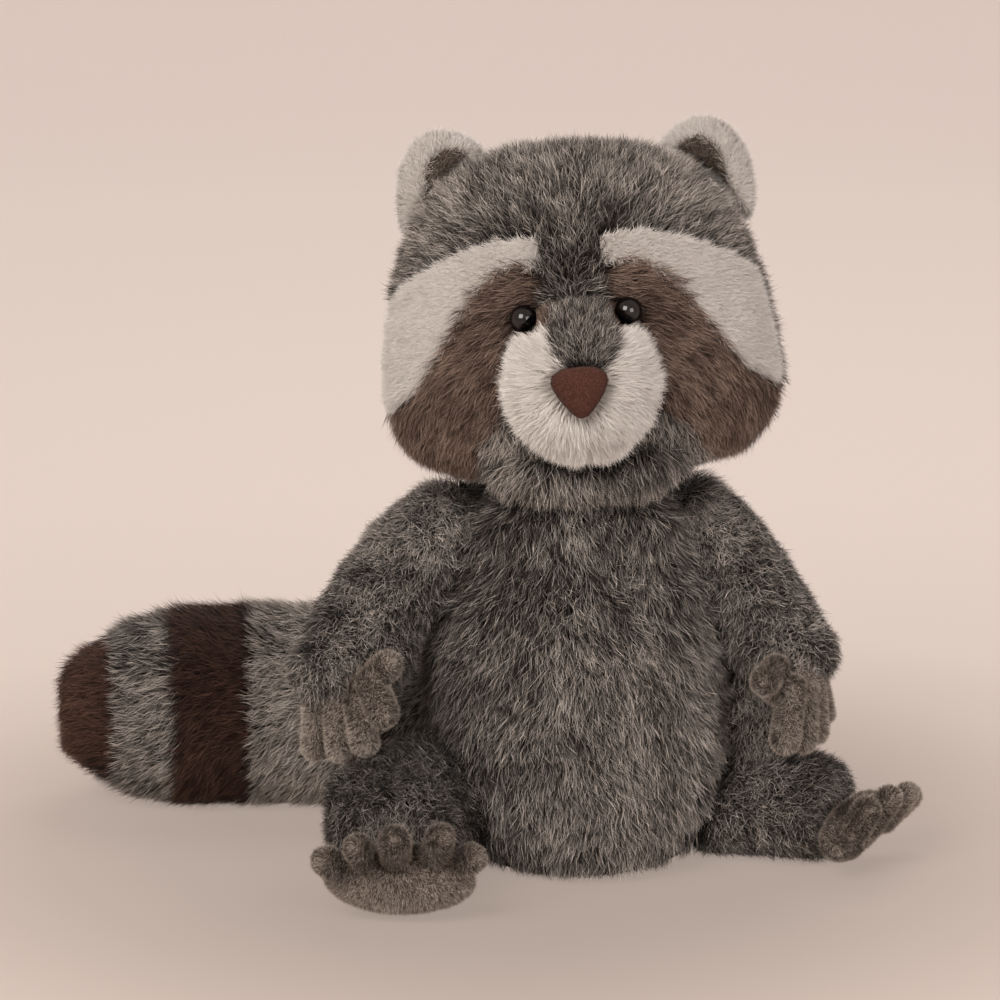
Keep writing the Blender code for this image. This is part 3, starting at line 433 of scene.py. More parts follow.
def eye_material():
    """Moulded acrylic eye: black all through, polished to a gloss, with a faint brown depth."""
    made, tree = new_material("black_acrylic")
    depth = noise(tree, 1 / (3 * MM))
    colour = ramp(tree, depth, [(0.4, linear("#050506")), (0.8, linear("#140E0C"))])
    gloss = {"Value": depth, "To Min": 0.04, "To Max": 0.09}
    rough = add_node(tree, "MapRange", "Result", gloss)
    set_shader(tree, Base_Color=colour, Roughness=rough, IOR=1.49)
    return made


def suede_material(colours):
    """Synthetic suede on the nose: a fine matt nap, its grain 0.4 mm, drawn to just show."""
    made, tree = new_material("nose_suede_cloth")
    grain = noise(tree, 1 / (0.8 * MM), 3.0)
    colour = ramp(tree, grain, [(0.3, tuple(colours.dark)), (0.75, tuple(colours.light))])
    set_shader(tree, Base_Color=colour, Normal=bump(tree, grain, 0.4, 0.2 * MM))
    set_shader(tree, Roughness=0.85, Sheen_Weight=0.2, Specular_IOR_Level=0.2)
    return made


def washer_material():
    """Moulded polythene washer: natural milky white, with faint flow marks 4 mm apart."""
    made, tree = new_material("natural_polythene")
    marks = noise(tree, 1 / (4 * MM))
    colour = ramp(tree, marks, [(0.3, linear("#C9C7C0")), (0.7, linear("#D6D4CE"))])
    set_shader(tree, Base_Color=colour, Roughness=0.45)
    return made


# Arrays of points and directions


def metres(sizes):
    """Sizes in mm as metres, in tuples of any depth."""
    if isinstance(sizes, tuple):
        return tuple(metres(size) for size in sizes)
    return sizes / 1000


def read(items, field, kind=float):
    """A field of three numbers of each item, as rows."""
    values = np.zeros(len(items) * 3, kind)
    items.foreach_get(field, values)
    return values.reshape(-1, 3)


def write(items, field, values, kind=np.float32):
    items.foreach_set(field, values.astype(kind).ravel())


def seeded(name):
    return np.random.default_rng(zlib.crc32(name.encode()))


def unit(ways):
    return ways / np.maximum(np.linalg.norm(ways, axis=1, keepdims=True), 1e-9)


def turned(ways, axes, angles):
    """Each direction turned about its own axis."""
    cos, sin = np.cos(angles)[:, None], np.sin(angles)[:, None]
    along = np.sum(axes * ways, axis=1, keepdims=True)
    return ways * cos + np.cross(axes, ways) * sin + axes * along * (1 - cos)


def waves(points, size, name):
    """Smooth noise from about -1 to 1, with bumps about one size across."""
    rng = seeded(name)
    total = np.zeros(len(points))
    for _ in range(7):
        way = unit(rng.normal(size=(1, 3)))[0]
        pace = 2 * math.pi / (size * rng.uniform(1.2, 2.6))
        total += np.sin(points @ way * pace + rng.uniform(0, 2 * math.pi))
    return total / 2.6


def smooth_step(values, low, high):
    share = np.clip((values - low) / (high - low), 0.0, 1.0)
    return share * share * (3 - 2 * share)


def in_head(points):
    inverse = np.array(HEAD_FRAME.inverted())
    return points @ inverse[:3, :3].T + inverse[:3, 3]


def from_head(ways):
    return ways @ np.array(HEAD_FRAME)[:3, :3].T


def along_line(points, line, reach=0.02):
    """The way that a line runs beside each point."""
    line = np.array(metres(line))
    total = np.zeros_like(points)
    for start, end in zip(line, line[1:]):
        run = end - start
        share = np.clip((points - start) @ run / (run @ run), 0, 1)
        gap = np.linalg.norm(points - (start + share[:, None] * run), axis=1)
        total += np.exp(-((gap / reach) ** 2))[:, None] * run / np.linalg.norm(run)
    return unit(total)


# Stuffed skins


def show(name, data):
    """Puts a mesh, a lamp or a camera in the scene as a new object."""
    made = bpy.data.objects.new(name, data)
    bpy.context.scene.collection.objects.link(made)
    return made


def deselect():
    bpy.ops.object.select_all(action="DESELECT")


def select(obj):
    """Makes an object the only one selected, and the active one."""
    deselect()
    bpy.context.view_layer.objects.active = obj
    obj.select_set(True)


def settle():
    """Moves the selected object's place, turn and scale into its mesh."""
    bpy.ops.object.transform_apply(location=True, rotation=True, scale=True)


def extrude(way):
    bpy.ops.mesh.extrude_region_move(TRANSFORM_OT_translate={"value": way})


def apply_modifier(obj, kind, **choices):
    """Adds a modifier and applies it to the object."""
    modifier = obj.modifiers.new(kind.lower(), kind)
    for name, value in choices.items():
        setattr(modifier, name, value)
    select(obj)
    bpy.ops.object.modifier_apply(modifier=modifier.name)


def surfaces(names):
    """The solids' faces as one tree, and the name of each face's solid."""
    bm = bmesh.new()
    owners = []
    for name in names:
        start = len(bm.faces)
        bm.from_mesh(NODES[name].data)
        owners += [name] * (len(bm.faces) - start)
    return bm, BVHTree.FromBMesh(bm), np.array(owners)


def tree_of(names):
    bm, tree, _ = surfaces(names)
    bm.free()
    return tree


def gaps_to(names, points, reach):
    """How far each point lies from the named solids, up to a reach."""
    tree = tree_of(names)
    gaps = [tree.find_nearest(Vector(point), reach)[3] for point in points]
    return np.array([reach if gap is None else gap for gap in gaps])


class Skin:
    """A stuffed skin under the pile, the outline of the pile, and how clear it is of others."""

    PROBE = 0.0025
    FAR = 0.0120
    RESTING = 0.0015

    def __init__(self, key, shapes=(), beside=(), repaint=None):
        """Shapes are joined in: with a paw's, its solid is left out. Beside names what it laps.
        Repaint moves the borders between the solids' cloths."""
        self.repaint, self.shift = repaint, np.zeros(3)
        self.nodes, voxel, inset, rounds, self.fill = SKINS[key]
        swells = [stuffed_ball(*ball) for ball in metres(SWELLS.get(key, ()))]
        bm, self.tree, self.owners = surfaces(self.nodes)
        if key in PAWS:
            bm.clear()
        for shape in (*shapes, *swells):
            bm.from_mesh(shape.data)
            bpy.data.objects.remove(shape)
        bmesh.ops.remove_doubles(bm, verts=bm.verts, dist=1e-6)
        mesh = bpy.data.meshes.new(f"{key}_skin")
        bm.to_mesh(mesh)
        bm.free()
        self.obj = show(f"{key}_skin", mesh)
        apply_modifier(self.obj, "REMESH", mode="VOXEL", voxel_size=voxel)
        apply_modifier(self.obj, "SMOOTH", factor=0.5, iterations=rounds)
        mesh = self.obj.data
        mesh.shade_smooth()
        self.outline = read(mesh.vertices, "co")
        self.normal = read(mesh.vertices, "normal")
        mesh.calc_loop_triangles()
        self.triangles = read(mesh.loop_triangles, "vertices", int)
        self.clear = self.clearance(beside)
        depth = np.full(len(self.outline), inset)
        owners = self.owner(self.outline, self.normal)
        for node in self.nodes:
            depth[owners == node] = INSETS.get(node.rsplit("_", 1)[0], inset)
        if key in DENTS:
            names, deep, reach = DENTS[key]
            depth += deep * (1 - smooth_step(gaps_to(names, self.outline, reach), 0.002, reach))
        self.shift = np.array(SHIFTS.get(key, (0.0, 0.0, 0.0)))
        self.outline += self.shift
        self.place = self.outline - self.normal * (depth * self.clear)[:, None]
        self.place[:, 2] = np.maximum(self.place[:, 2], 0.0)
        write(mesh.vertices, "co", self.place)
        mesh.update()

    def clearance(self, beside):
        """0 where another piece or the floor is against the skin, rising to 1 in the open."""
        apart = (*self.nodes, *beside)
        names = [n for n in NODES if n not in apart and not n.startswith("eye")]
        tree = tree_of(names)
        gaps = np.full(len(self.outline), self.PROBE)
        probes = self.outline + self.normal * self.PROBE
        for index, probe in enumerate(probes):
            place, normal, _, gap = tree.find_nearest(Vector(probe), self.FAR)
            if place is not None:
                gaps[index] = math.copysign(gap, (Vector(probe) - place).dot(normal))
        clear = smooth_step(gaps, -0.5 * self.PROBE, 0.4 * self.PROBE)
        resting = (self.outline[:, 2] < self.RESTING) & (self.normal[:, 2] < -0.6)
        clear[resting] = 0.0
        return clear

    def owner(self, points, normals):
        """The name of the solid whose cloth each point is in."""
        points = points - self.shift
        found = [self.tree.find_nearest(Vector(point))[2] for point in points]
        owners = self.owners[np.array(found, int)]
        return self.repaint(points, normals, owners) if self.repaint else owners

    def finish(self, colour, others=()):
        """Gives the skin its backings, where others may name solids with another colour, rides
        it on the toy and hides the solids that it stands for."""
        mesh, others = self.obj.data, dict(others)
        colours = list(dict.fromkeys((colour, *others.values())))
        mesh.materials.clear()
        for name in colours:
            mesh.materials.append(backing_material(f"{name}_backing", getattr(settings(), name)))
        if others:
            owners = self.owner(read(mesh.polygons, "center"), read(mesh.polygons, "normal"))
            picks = [colours.index(others.get(owner, colour)) for owner in owners]
            mesh.polygons.foreach_set("material_index", picks)
        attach(self.obj, "root")
        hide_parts(*self.nodes)


# Pile

# Where strands of pile are rooted: on the skin, under the outline, with its normals
Roots = namedtuple("Roots", "outline place normal clear")


def kept(roots, chosen):
    return Roots(*(values[chosen] for values in roots))


def scatter(skin, pile, name):
    """Strand roots spread evenly over the part of a skin that touches nothing."""
    rng = seeded(f"{name} roots")
    a, b, c = (skin.outline[skin.triangles[:, corner]] for corner in range(3))
    areas = np.linalg.norm(np.cross(b - a, c - a), axis=1) / 2
    free = skin.clear[skin.triangles].min(axis=1) > 0.02
    wanted = areas * free * pile.per_mm2 / MM**2
    counts = np.floor(wanted + rng.random(len(wanted))).astype(int)
    corners = skin.triangles[np.repeat(np.arange(len(counts)), counts)]
    first = np.sqrt(rng.random(len(corners)))
    second = rng.random(len(corners))
    shares = np.stack([1 - first, first * (1 - second), first * second], axis=1)

    def blend(values):
        return np.einsum("ij,ijk->ik", shares, values[corners])

    clear = np.einsum("ij,ij->i", shares, skin.clear[corners])
    return Roots(blend(skin.outline), blend(skin.place), unit(blend(skin.normal)), clear)


def nearest_of(points, centres):
    """The number of each point's nearest centre."""
    tree = KDTree(len(centres))
    for index, centre in enumerate(centres):
        tree.insert(centre, index)
    tree.balance()
    return np.array([tree.find(point)[1] for point in points], int)


def strand_mesh(name, root, middle, tip, normal, width, shade, rng):
    """Each strand as a tapered blade: a quad up to its middle, if it has one, and a triangle."""
    count = len(root)
    axis = unit(tip - root)
    side = unit(np.cross(axis, normal))
    side = turned(side, axis, rng.normal(0, BLADE_TURNS, count))
    face = np.cross(side, axis)
    half = side * (width * rng.uniform(0.75, 1.25, count) / 2)[:, None]
    if middle is None:
        corners = np.stack([root - half, root + half, tip], 1)
        order, starts, lean, rise = [0, 1, 2], [0], [-1, 1, 0], [0.01, 0.01, 0.99]
    else:
        near, far = middle + half * 0.8, middle - half * 0.8
        corners = np.stack([root - half, root + half, near, far, tip], 1)
        order, starts, lean = [0, 1, 2, 3, 3, 2, 4], [0, 4], [-1, 1, 1, -1, -1, 1, 0]
        rise = [0.01, 0.01, 0.5, 0.5, 0.5, 0.5, 0.99]
    corners[:, :, 2] = np.maximum(corners[:, :, 2], FLOOR_GAP)
    square = np.clip(np.sum(face * normal, axis=1, keepdims=True), 0.0, 1.0)
    lit = unit(normal * square * 0.4 + face * 0.6 + rng.normal(0, 0.15, (count, 3)))

    points, loops = corners.shape[1], len(order)
    numbers = np.arange(count)[:, None]
    mesh = bpy.data.meshes.new(name)
    mesh.vertices.add(count * points)
    write(mesh.vertices, "co", corners)
    mesh.loops.add(count * loops)
    write(mesh.loops, "vertex_index", numbers * points + np.array(order), np.int32)
    mesh.polygons.add(count * len(starts))
    write(mesh.polygons, "loop_start", numbers * loops + np.array(starts), np.int32)
    mesh.update(calc_edges=True)

    across = shade[:, None] + np.array(lean) * 0.004
    up = np.tile(np.array(rise), (count, 1))
    write(mesh.uv_layers.new(name="OFBake").data, "uv", np.stack([across, up], 2))
    normals = mesh.attributes.new("custom_normal", "FLOAT_VECTOR", "POINT")
    write(normals.data, "vector", np.repeat(lit, points, axis=0))
    return mesh


def grow(name, roots, pile, nap, shade, colour, blocked=None):
    """One piece of pile: strands that rise from their roots, lie with the nap and make tufts."""
    rng = seeded(name)
    outline, place, normal, clear = roots
    count = len(place)
    flow = unit(nap - np.sum(nap * normal, axis=1, keepdims=True) * normal)
    swirl = 0.25 * waves(outline, 0.018, "swirl") + rng.normal(0, pile.stray, count)
    flow = turned(flow, normal, swirl)

    fly = rng.random(count) < FLY_SHARE
    spread = rng.normal(1.0, LENGTH_SPREAD, count).clip(0.6, 1.4)
    length = pile.length * (0.5 + 0.5 * clear) * spread
    length *= 1 + 0.15 * fly
    rise = pile.root_rise + rng.normal(0, ROOT_SPREAD, count)
    tip_rise = pile.tip_rise + rng.normal(0, TIP_SPREAD, count) + 0.4 * fly
    tip_rise += 0.22 * waves(outline, 0.009, "lift")
    half = (length / 2)[:, None]
    lower = normal * np.sin(rise)[:, None] + flow * np.cos(rise)[:, None]
    upper = normal * np.sin(tip_rise)[:, None] + flow * np.cos(tip_rise)[:, None]
    sideways = np.cross(flow, normal)
    middle = place + lower * half + sideways * rng.normal(0, pile.curl, count)[:, None]
    tip = place + (lower + upper) * half + sideways * rng.normal(0, pile.curl, count)[:, None]

    tufts = max(1, int(count / (pile.per_mm2 * (pile.tuft / MM) ** 2)))
    centres = rng.choice(count, tufts, replace=False)
    mine = centres[nearest_of(place, place[centres])]
    pull = (pile.gather * rng.uniform(0.2, 1.0, count))[:, None]
    middle += (middle[mine] - middle) * pull * 0.3
    tip += (tip[mine] - tip) * pull

    tone = rng.normal(0, TUFT_TONES, count)[mine] + rng.normal(0, STRAND_TONES, count)
    shade = np.clip(shade + tone + 0.08 * waves(outline, 0.012, "tone"), 0.02, 0.98)
    free = np.ones(count, bool)
    if blocked is not None:
        free = ~(blocked(tip) | blocked(middle) | blocked((place + middle) / 2))
    width = pile.width * np.where(fly, 0.6, 1.0)
    bent = None if pile.length < SHORT else middle[free]
    mesh = strand_mesh(
        name, place[free], bent, tip[free], normal[free], width[free], shade[free], rng
    )
    mesh.materials.append(pile_material(f"{colour}_pile", getattr(settings(), colour)))
    piece = show(name, mesh)
    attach(piece, "root")


# Where the nap runs

DOWN = np.array([0.0, 0.0, -1.0])


def away_from(points, centre):
    return unit(points - np.array(centre))


def body_nap(points):
    """Down, and out from the neck at the shoulders."""
    out = points * np.array([1.0, 1.0, 0.0])
    return unit(out) * 0.14 + np.array([0.07, 0.0, -1.0])


def crown_nap(points):
    """Back over the crown from the face, and down behind it."""
    local = in_head(points)
    back = smooth_step(local[:, 1], -0.005, 0.045)[:, None]
    low = smooth_step(-local[:, 2], 0.0, 0.045)[:, None]
    away = away_from(local, CROWN_POLE)
    return from_head(away * (1 - back) * (1 - 0.5 * low) + DOWN * (back + low))


def cheek_nap(points):
    """Outward from beside the nose, and down towards the jaw."""
    local = in_head(points)
    away = away_from(local, (0.0, -0.055, 0.004))
    down = 0.25 + 0.65 * smooth_step(-local[:, 2], -0.01, 0.045)
    return from_head(away + down[:, None] * DOWN)


def brow_nap(points):
    """Outward along the brow, and a little down."""
    local = in_head(points)
    side = np.sign(local[:, :1])
    return from_head(side * np.array([1.0, 0.0, 0.0]) + np.array([0.0, 0.35, -0.30]))


def muzzle_nap(points):
    """Out from the nose on all sides, parting on a line below it."""
    local = in_head(points)
    away = away_from(local, NOSE_MIDDLE)
    below = smooth_step(-(local[:, 2] - NOSE_MIDDLE[2]), 0.002, 0.010)
    part = np.sign(local[:, 0]) * np.exp(-((local[:, 0] / 0.003) ** 2)) * below
    return from_head(away + part[:, None] * np.array([0.15, 0.0, 0.0]))


def ruff_nap(points):
    local = in_head(points)
    return from_head(away_from(local, MUZZLE_MIDDLE)) + 0.9 * DOWN


# How light the pile is


def body_shade(points):
    """Painted light and shade: lighter towards the left, which the light falls on, and darker
    towards the right, where the arm shades the belly; painted light on top of the shoulders; darker
    on the chest.
    """
    # painted light towards the left and painted shade towards the right
    shade = SHADES["body"] + 0.14 * np.clip(points[:, 0] / 0.05, -1, 1)
    return shade - 0.13 * smooth_step(points[:, 2], 0.085, 0.115) + 0.30 * painted_shoulder_light(points)


def crown_shade(points):
    """Lighter at the sides, darker at the brows."""
    side_light = smooth_step(np.abs(in_head(points)[:, 0]), 0.015, 0.045)
    return SHADES["crown"] + 0.12 * side_light - 0.14 * forehead_shadow(points)


def eye_shadow(points):
    """1 at the eyes, fading to 0 in the mask around them."""
    return 1 - smooth_step(beside_eyes(points)[0], EYE_RADIUS, EYE_RADIUS + 0.006)


def painted_shoulder_light(points):
    """Painted light: 1 on top of the shoulders, where the pile is seen down to its dark roots and
    renders dark.
    """
    out = smooth_step(np.abs(points[:, 0]), 0.026, 0.040)
    return out * smooth_step(points[:, 2], 0.108, 0.124)


def forehead_shadow(points):
    """1 along the brows' upper edges and between the brows, fading to 0 up the crown."""
    gaps = gaps_to([f"brow_patch_{side}" for side in SIDES], points, 0.02)
    return 1 - smooth_step(gaps, 0.003, 0.014)


# Where the cloths meet


def head_cloths(points, normals, owners):
    """The patches end where the head turns away, and the left cheek ends at the throat."""
    local = in_head(points)
    left = np.char.endswith(owners.astype(str), "_left")
    turned_away = normals[:, 1] > np.where(left, *PATCH_TURNS)
    throat = local[:, 2] < THROAT_TOP - THROAT_SLOPE * (local[:, 0] - THROAT_START)
    ends = (owners != "head") & (turned_away | (left & throat))
    return np.where(ends, "head", owners.astype(object))


def muzzle_cloths(points, normals, owners):
    """The grey bridge rounds off above the nose, and the mask comes in beside it to the eyes."""
    local = in_head(points)
    down = np.clip((BRIDGE_TOP - local[:, 2]) / BRIDGE_ROUND, 0.0, 1.0)
    bridge = np.abs(local[:, 0] - BRIDGE_MIDDLE) < BRIDGE_HALF * np.sqrt(1 - down**2)
    across, before = beside_eyes(points)
    near_eyes = (across < EYE_RADIUS + MASK_RIM) & (before < MASK_DEPTH)
    mask = (local[:, 2] > MASK_LOW) | near_eyes
    return np.where(bridge & ~near_eyes, "muzzle_bridge", np.where(mask, "mask", "muzzle"))


def tail_cloths(points, normals, owners):
    """The grey band beside the leg is wider than its solid."""
    widened = (owners == "tail_brown_band_3") & (points[:, 0] < GREY_BAND_END)
    return np.where(widened, "tail_grey_band_4", owners)


# Shapes modelled by hand


def in_edit(obj, choose):
    """Goes into edit mode with only the faces chosen by their normal and middle selected."""
    bpy.ops.object.mode_set(mode="OBJECT")
    bpy.context.tool_settings.mesh_select_mode = (False, False, True)
    mesh = obj.data
    chosen = [choose(face) for face in mesh.polygons]
    corners = {c for face, picked in zip(mesh.polygons, chosen) if picked for c in face.vertices}
    mesh.polygons.foreach_set("select", chosen)
    mesh.vertices.foreach_set("select", [vert.index in corners for vert in mesh.vertices])
    mesh.edges.foreach_set("select", [corners.issuperset(edge.vertices) for edge in mesh.edges])
    bpy.ops.object.mode_set(mode="EDIT")


def stuffed_ball(middle, half_sizes, turn=(0.0, 0.0, 0.0)):
    deselect()
    bpy.ops.mesh.primitive_uv_sphere_add(
        segments=32, ring_count=20, radius=1.0, location=middle, rotation=turn, scale=half_sizes
    )
    settle()
    return bpy.context.object


def digit(base, tip, radius):
    """A finger or toe: a ball drawn out from its base to its tip."""
    run = Vector(tip) - Vector(base)
    deselect()
    bpy.ops.mesh.primitive_uv_sphere_add(segments=24, ring_count=14, radius=radius)
    made = bpy.context.object
    in_edit(made, lambda face: face.center.z > 0)
    bpy.ops.transform.translate(value=(0.0, 0.0, run.length))
    bpy.ops.object.mode_set(mode="OBJECT")
    made.location, made.rotation_euler = base, run.to_track_quat("Z", "Y").to_euler()
    settle()
    return made


def paw_shapes(key, root):
    """A paw's flat cushion and its digits."""
    step, half_sizes, facing, digits = PAWS[key]
    turn = Vector(facing).to_track_quat("Y", "Z").to_euler()
    root = Vector(root)
    shapes = [stuffed_ball(root + Vector(metres(step)), metres(half_sizes), turn)]
    for base, tip, radius in metres(digits):
        shapes.append(digit(root + Vector(base), root + Vector(tip), radius))
    return shapes


# The toy's pieces


class RACCOON_OT_body(bpy.types.Operator):
    """Stuffs the body and gives it its long grey pile"""

    bl_idname = "raccoon.body"
    bl_label = "Body"

    def execute(self, context):
        pile = settings().body_pile
        skin = Skin("body", beside=("chin_ruff",))
        roots = scatter(skin, pile, "body")
        front = roots.outline[:, 1] < 0
        for name, chosen in (("body_pile_front", front), ("body_pile_back", ~front)):
            part = kept(roots, chosen)
            shade = body_shade(part.outline)
            grow(name, part, pile, body_nap(part.outline), shade, "grey")
        skin.finish("grey")
        return {"FINISHED"}


class RACCOON_OT_head(bpy.types.Operator):
    """Stuffs the head and gives it its crown, brows and cheeks"""

    bl_idname = "raccoon.head"
    bl_label = "Head"

    def execute(self, context):
        sizes = settings()
        brow, cheek, crown = sizes.brow_pile, sizes.cheek_pile, sizes.crown_pile
        ears = [n for n in NODES if n.startswith("ear")]
        beside = ("muzzle", "muzzle_bridge", "nose", "chin_ruff", *ears)
        skin = Skin("head", beside=beside, repaint=head_cloths)
        roots = scatter(skin, brow, "head")
        owners = skin.owner(roots.outline, roots.normal)
        chance = seeded("head thinning").random(len(owners)) * brow.per_mm2
        chosen = (owners == "head") & (chance < crown.per_mm2)
        for name, back in (("crown_pile_front", False), ("crown_pile_back", True)):
            part = kept(roots, chosen & ((roots.outline[:, 1] > 0.004) == back))
            shade = crown_shade(part.outline)
            nap = crown_nap(part.outline)
            gap = gaps_to(ears, part.outline - np.array(SHIFTS["ear_left"]), 0.014)
            nap[:, 1] -= (1 - smooth_step(gap, 0.002, 0.014)) * (nap[:, 1] + 0.5)
            grow(name, part, crown, nap, shade, "grey", hides_eyes)
        others = {}
        for side in SIDES:
            others.update({f"brow_patch_{side}": "white", f"cheek_patch_{side}": "brown"})
            part = kept(roots, owners == f"brow_patch_{side}")
            nap = brow_nap(part.outline)
            grow(f"brow_pile_{side}", part, brow, nap, SHADES["brow"], "white", hides_eyes)
            part = kept(roots, (owners == f"cheek_patch_{side}") & (chance < cheek.per_mm2))
            nap = cheek_nap(part.outline)
            shade = SHADES["cheek"] - 0.22 * eye_shadow(part.outline)
            grow(f"cheek_pile_{side}", part, cheek, nap, shade, "brown", hides_eyes)
        skin.finish("grey", others)
        return {"FINISHED"}


class RACCOON_OT_muzzle(bpy.types.Operator):
    """Stuffs the muzzle and gives it its pale pile and its grey bridge"""

    bl_idname = "raccoon.muzzle"
    bl_label = "Muzzle"

    def execute(self, context):
        muzzle, bridge = settings().muzzle_pile, settings().bridge_pile
        skin = Skin("muzzle", beside=("nose", "chin_ruff"), repaint=muzzle_cloths)
        roots = scatter(skin, muzzle, "muzzle")
        owners = skin.owner(roots.outline, roots.normal)
        hides_nose = in_front_of_nose()

        def blocked(points):
            return hides_eyes(points) | hides_nose(points)

        for name, cloth, pile, shade, colour in (
            ("muzzle_pile", "muzzle", muzzle, "muzzle", "white"),
            ("bridge_pile", "muzzle_bridge", bridge, "bridge", "grey"),
            ("eye_pile", "mask", bridge, "mask", "brown"),
        ):
            part = kept(roots, owners == cloth)
            grow(name, part, pile, muzzle_nap(part.outline), SHADES[shade], colour, blocked)
        skin.finish("white", {"muzzle_bridge": "grey", "mask": "brown"})
        return {"FINISHED"}


class RACCOON_OT_chin_ruff(bpy.types.Operator):
    """Stuffs the ruff under the chin and gives it its grey pile"""

    bl_idname = "raccoon.chin_ruff"
    bl_label = "Chin ruff"

    def execute(self, context):
        pile = settings().ruff_pile
        skin = Skin("chin_ruff", beside=("body",))
        roots = scatter(skin, pile, "ruff")
        grow("ruff_pile", roots, pile, ruff_nap(roots.outline), SHADES["ruff"], "grey")
        skin.finish("grey")
        return {"FINISHED"}


class RACCOON_OT_ears(bpy.types.Operator):
    """Stuffs the ears and gives them their pale rims and dark linings"""

    bl_idname = "raccoon.ears"
    bl_label = "Ears"

    def execute(self, context):
        pile = settings().ear_pile
        for side in SIDES:
            skin = Skin(f"ear_{side}", beside=SKINS["head"][0])
            roots = scatter(skin, pile, f"ear {side}")
            owners = skin.owner(roots.outline, roots.normal)
            middle = skin.outline.mean(axis=0) + 0.012 * DOWN
            # the linings differ in shade by painted light, the right one lit more
            for name, node, shade, colour in (
                (f"ear_pile_{side}", f"ear_{side}", "ear", "white"),
                (f"lining_pile_{side}", f"ear_lining_{side}", f"lining_{side}", "lining"),
            ):
                part = kept(roots, owners == node)
                grow(name, part, pile, away_from(part.outline, middle), SHADES[shade], colour)
            skin.finish("white", {f"ear_lining_{side}": "lining"})
        return {"FINISHED"}


class RACCOON_OT_limbs(bpy.types.Operator):
    """Stuffs the arms and legs and gives them their frizzy grey pile"""

    bl_idname = "raccoon.limbs"
    bl_label = "Arms and legs"

    def execute(self, context):
        pile = settings().limb_pile
        for limb, paw, lines in LIMBS:
            for side, line in lines.items():
                skin = Skin(f"{limb}_{side}", beside=(f"{paw}_{side}",))
                roots = scatter(skin, pile, f"{limb} {side}")
                nap = along_line(roots.outline, line) + 0.35 * DOWN
                # painted light on top of the shoulders
                shade = SHADES[limb] + 0.25 * painted_shoulder_light(roots.outline)
                grow(f"{limb}_pile_{side}", roots, pile, nap, shade, "grey")
                skin.finish("grey")
        return {"FINISHED"}


class RACCOON_OT_paws(bpy.types.Operator):
    """Stuffs the hands and feet, digit by digit, and gives them their short taupe pile"""

    bl_idname = "raccoon.paws"
    bl_label = "Hands and feet"

    def execute(self, context):
        pile = settings().paw_pile
        for limb, paw, lines in LIMBS:
            for side, line in lines.items():
                key, root = f"{paw}_{side}", metres(line[-1])
                skin = Skin(key, paw_shapes(key, root), beside=(f"{limb}_{side}",))
                roots = scatter(skin, pile, f"{paw} {side}")
                nap = away_from(roots.outline, root)
                grow(f"{paw}_pile_{side}", roots, pile, nap, SHADES[paw], "taupe")
                skin.finish("taupe")
        return {"FINISHED"}


class RACCOON_OT_tail(bpy.types.Operator):
    """Stuffs the tail and gives it its brown and grey bands"""

    bl_idname = "raccoon.tail"
    bl_label = "Tail"

    def execute(self, context):
        pile = settings().tail_pile
        skin = Skin("tail", repaint=tail_cloths)
        roots = scatter(skin, pile, "tail")
        run = along_line(roots.outline, TAIL_LINE, 0.03)
        owners = skin.owner(roots.outline + run * TAIL_LEAN, roots.normal)
        for node in TAIL_NODES:
            colour, band = ("grey", "grey_band") if "grey" in node else ("dark_brown", "brown_band")
            shade = SHADES[band] + BAND_LIGHT.get(node, 0.0)
            nap = run[owners == node] + 0.5 * DOWN
            grow(f"{node}_pile", kept(roots, owners == node), pile, nap, shade, colour)
        skin.finish("grey", {node: "dark_brown" for node in TAIL_NODES if "grey" not in node})
        return {"FINISHED"}


# Eyes and nose


def eye_middle(side):
    """The middle of an eye's flat back, in the head's frame."""
    points = in_head(read(NODES[f"eye_{side}"].data.vertices, "co"))
    low, high = Vector(points.min(axis=0)), Vector(points.max(axis=0))
    return Vector(((low.x + high.x) / 2, low.y + EYE_DOME, (low.z + high.z) / 2))


def beside_eyes(points):
    """How far each point lies from the nearer eye's middle line, and how far before its back."""
    local = in_head(points)
    across = np.full(len(points), np.inf)
    before = np.zeros(len(points))
    for side in SIDES:
        middle = eye_middle(side)
        gap = np.hypot(local[:, 0] - middle.x, local[:, 2] - middle.z)
        before = np.where(gap < across, middle.y - local[:, 1], before)
        across = np.minimum(across, gap)
    return across, before


def hides_eyes(points):
    """Which points would hide an eye's dome."""
    across, before = beside_eyes(points)
    return (across < EYE_RADIUS * 0.92) & (before > -0.002)


def in_front_of_nose():
    """A test of which points would hide the nose or lie in it."""
    tree = tree_of(["nose"])
    forward = Vector(from_head(np.array([[0.0, -1.0, 0.0]]))[0])
    low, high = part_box("nose")
    low, high = np.array(low) - 0.004, np.array(high) + 0.004

    def test(points):
        near = np.all((points > low) & (points < high), axis=1)
        hidden = np.zeros(len(points), bool)
        for index in np.flatnonzero(near):
            place = Vector(points[index])
            start = place + forward * 0.01
            hidden[index] = tree.ray_cast(start, -forward, 0.02)[0] is not None
        return hidden

    return test


def place_in_head(obj, matrix):
    """Puts a finished piece where it goes, with its place in its mesh."""
    obj.matrix_world = HEAD_FRAME @ matrix
    select(obj)
    settle()


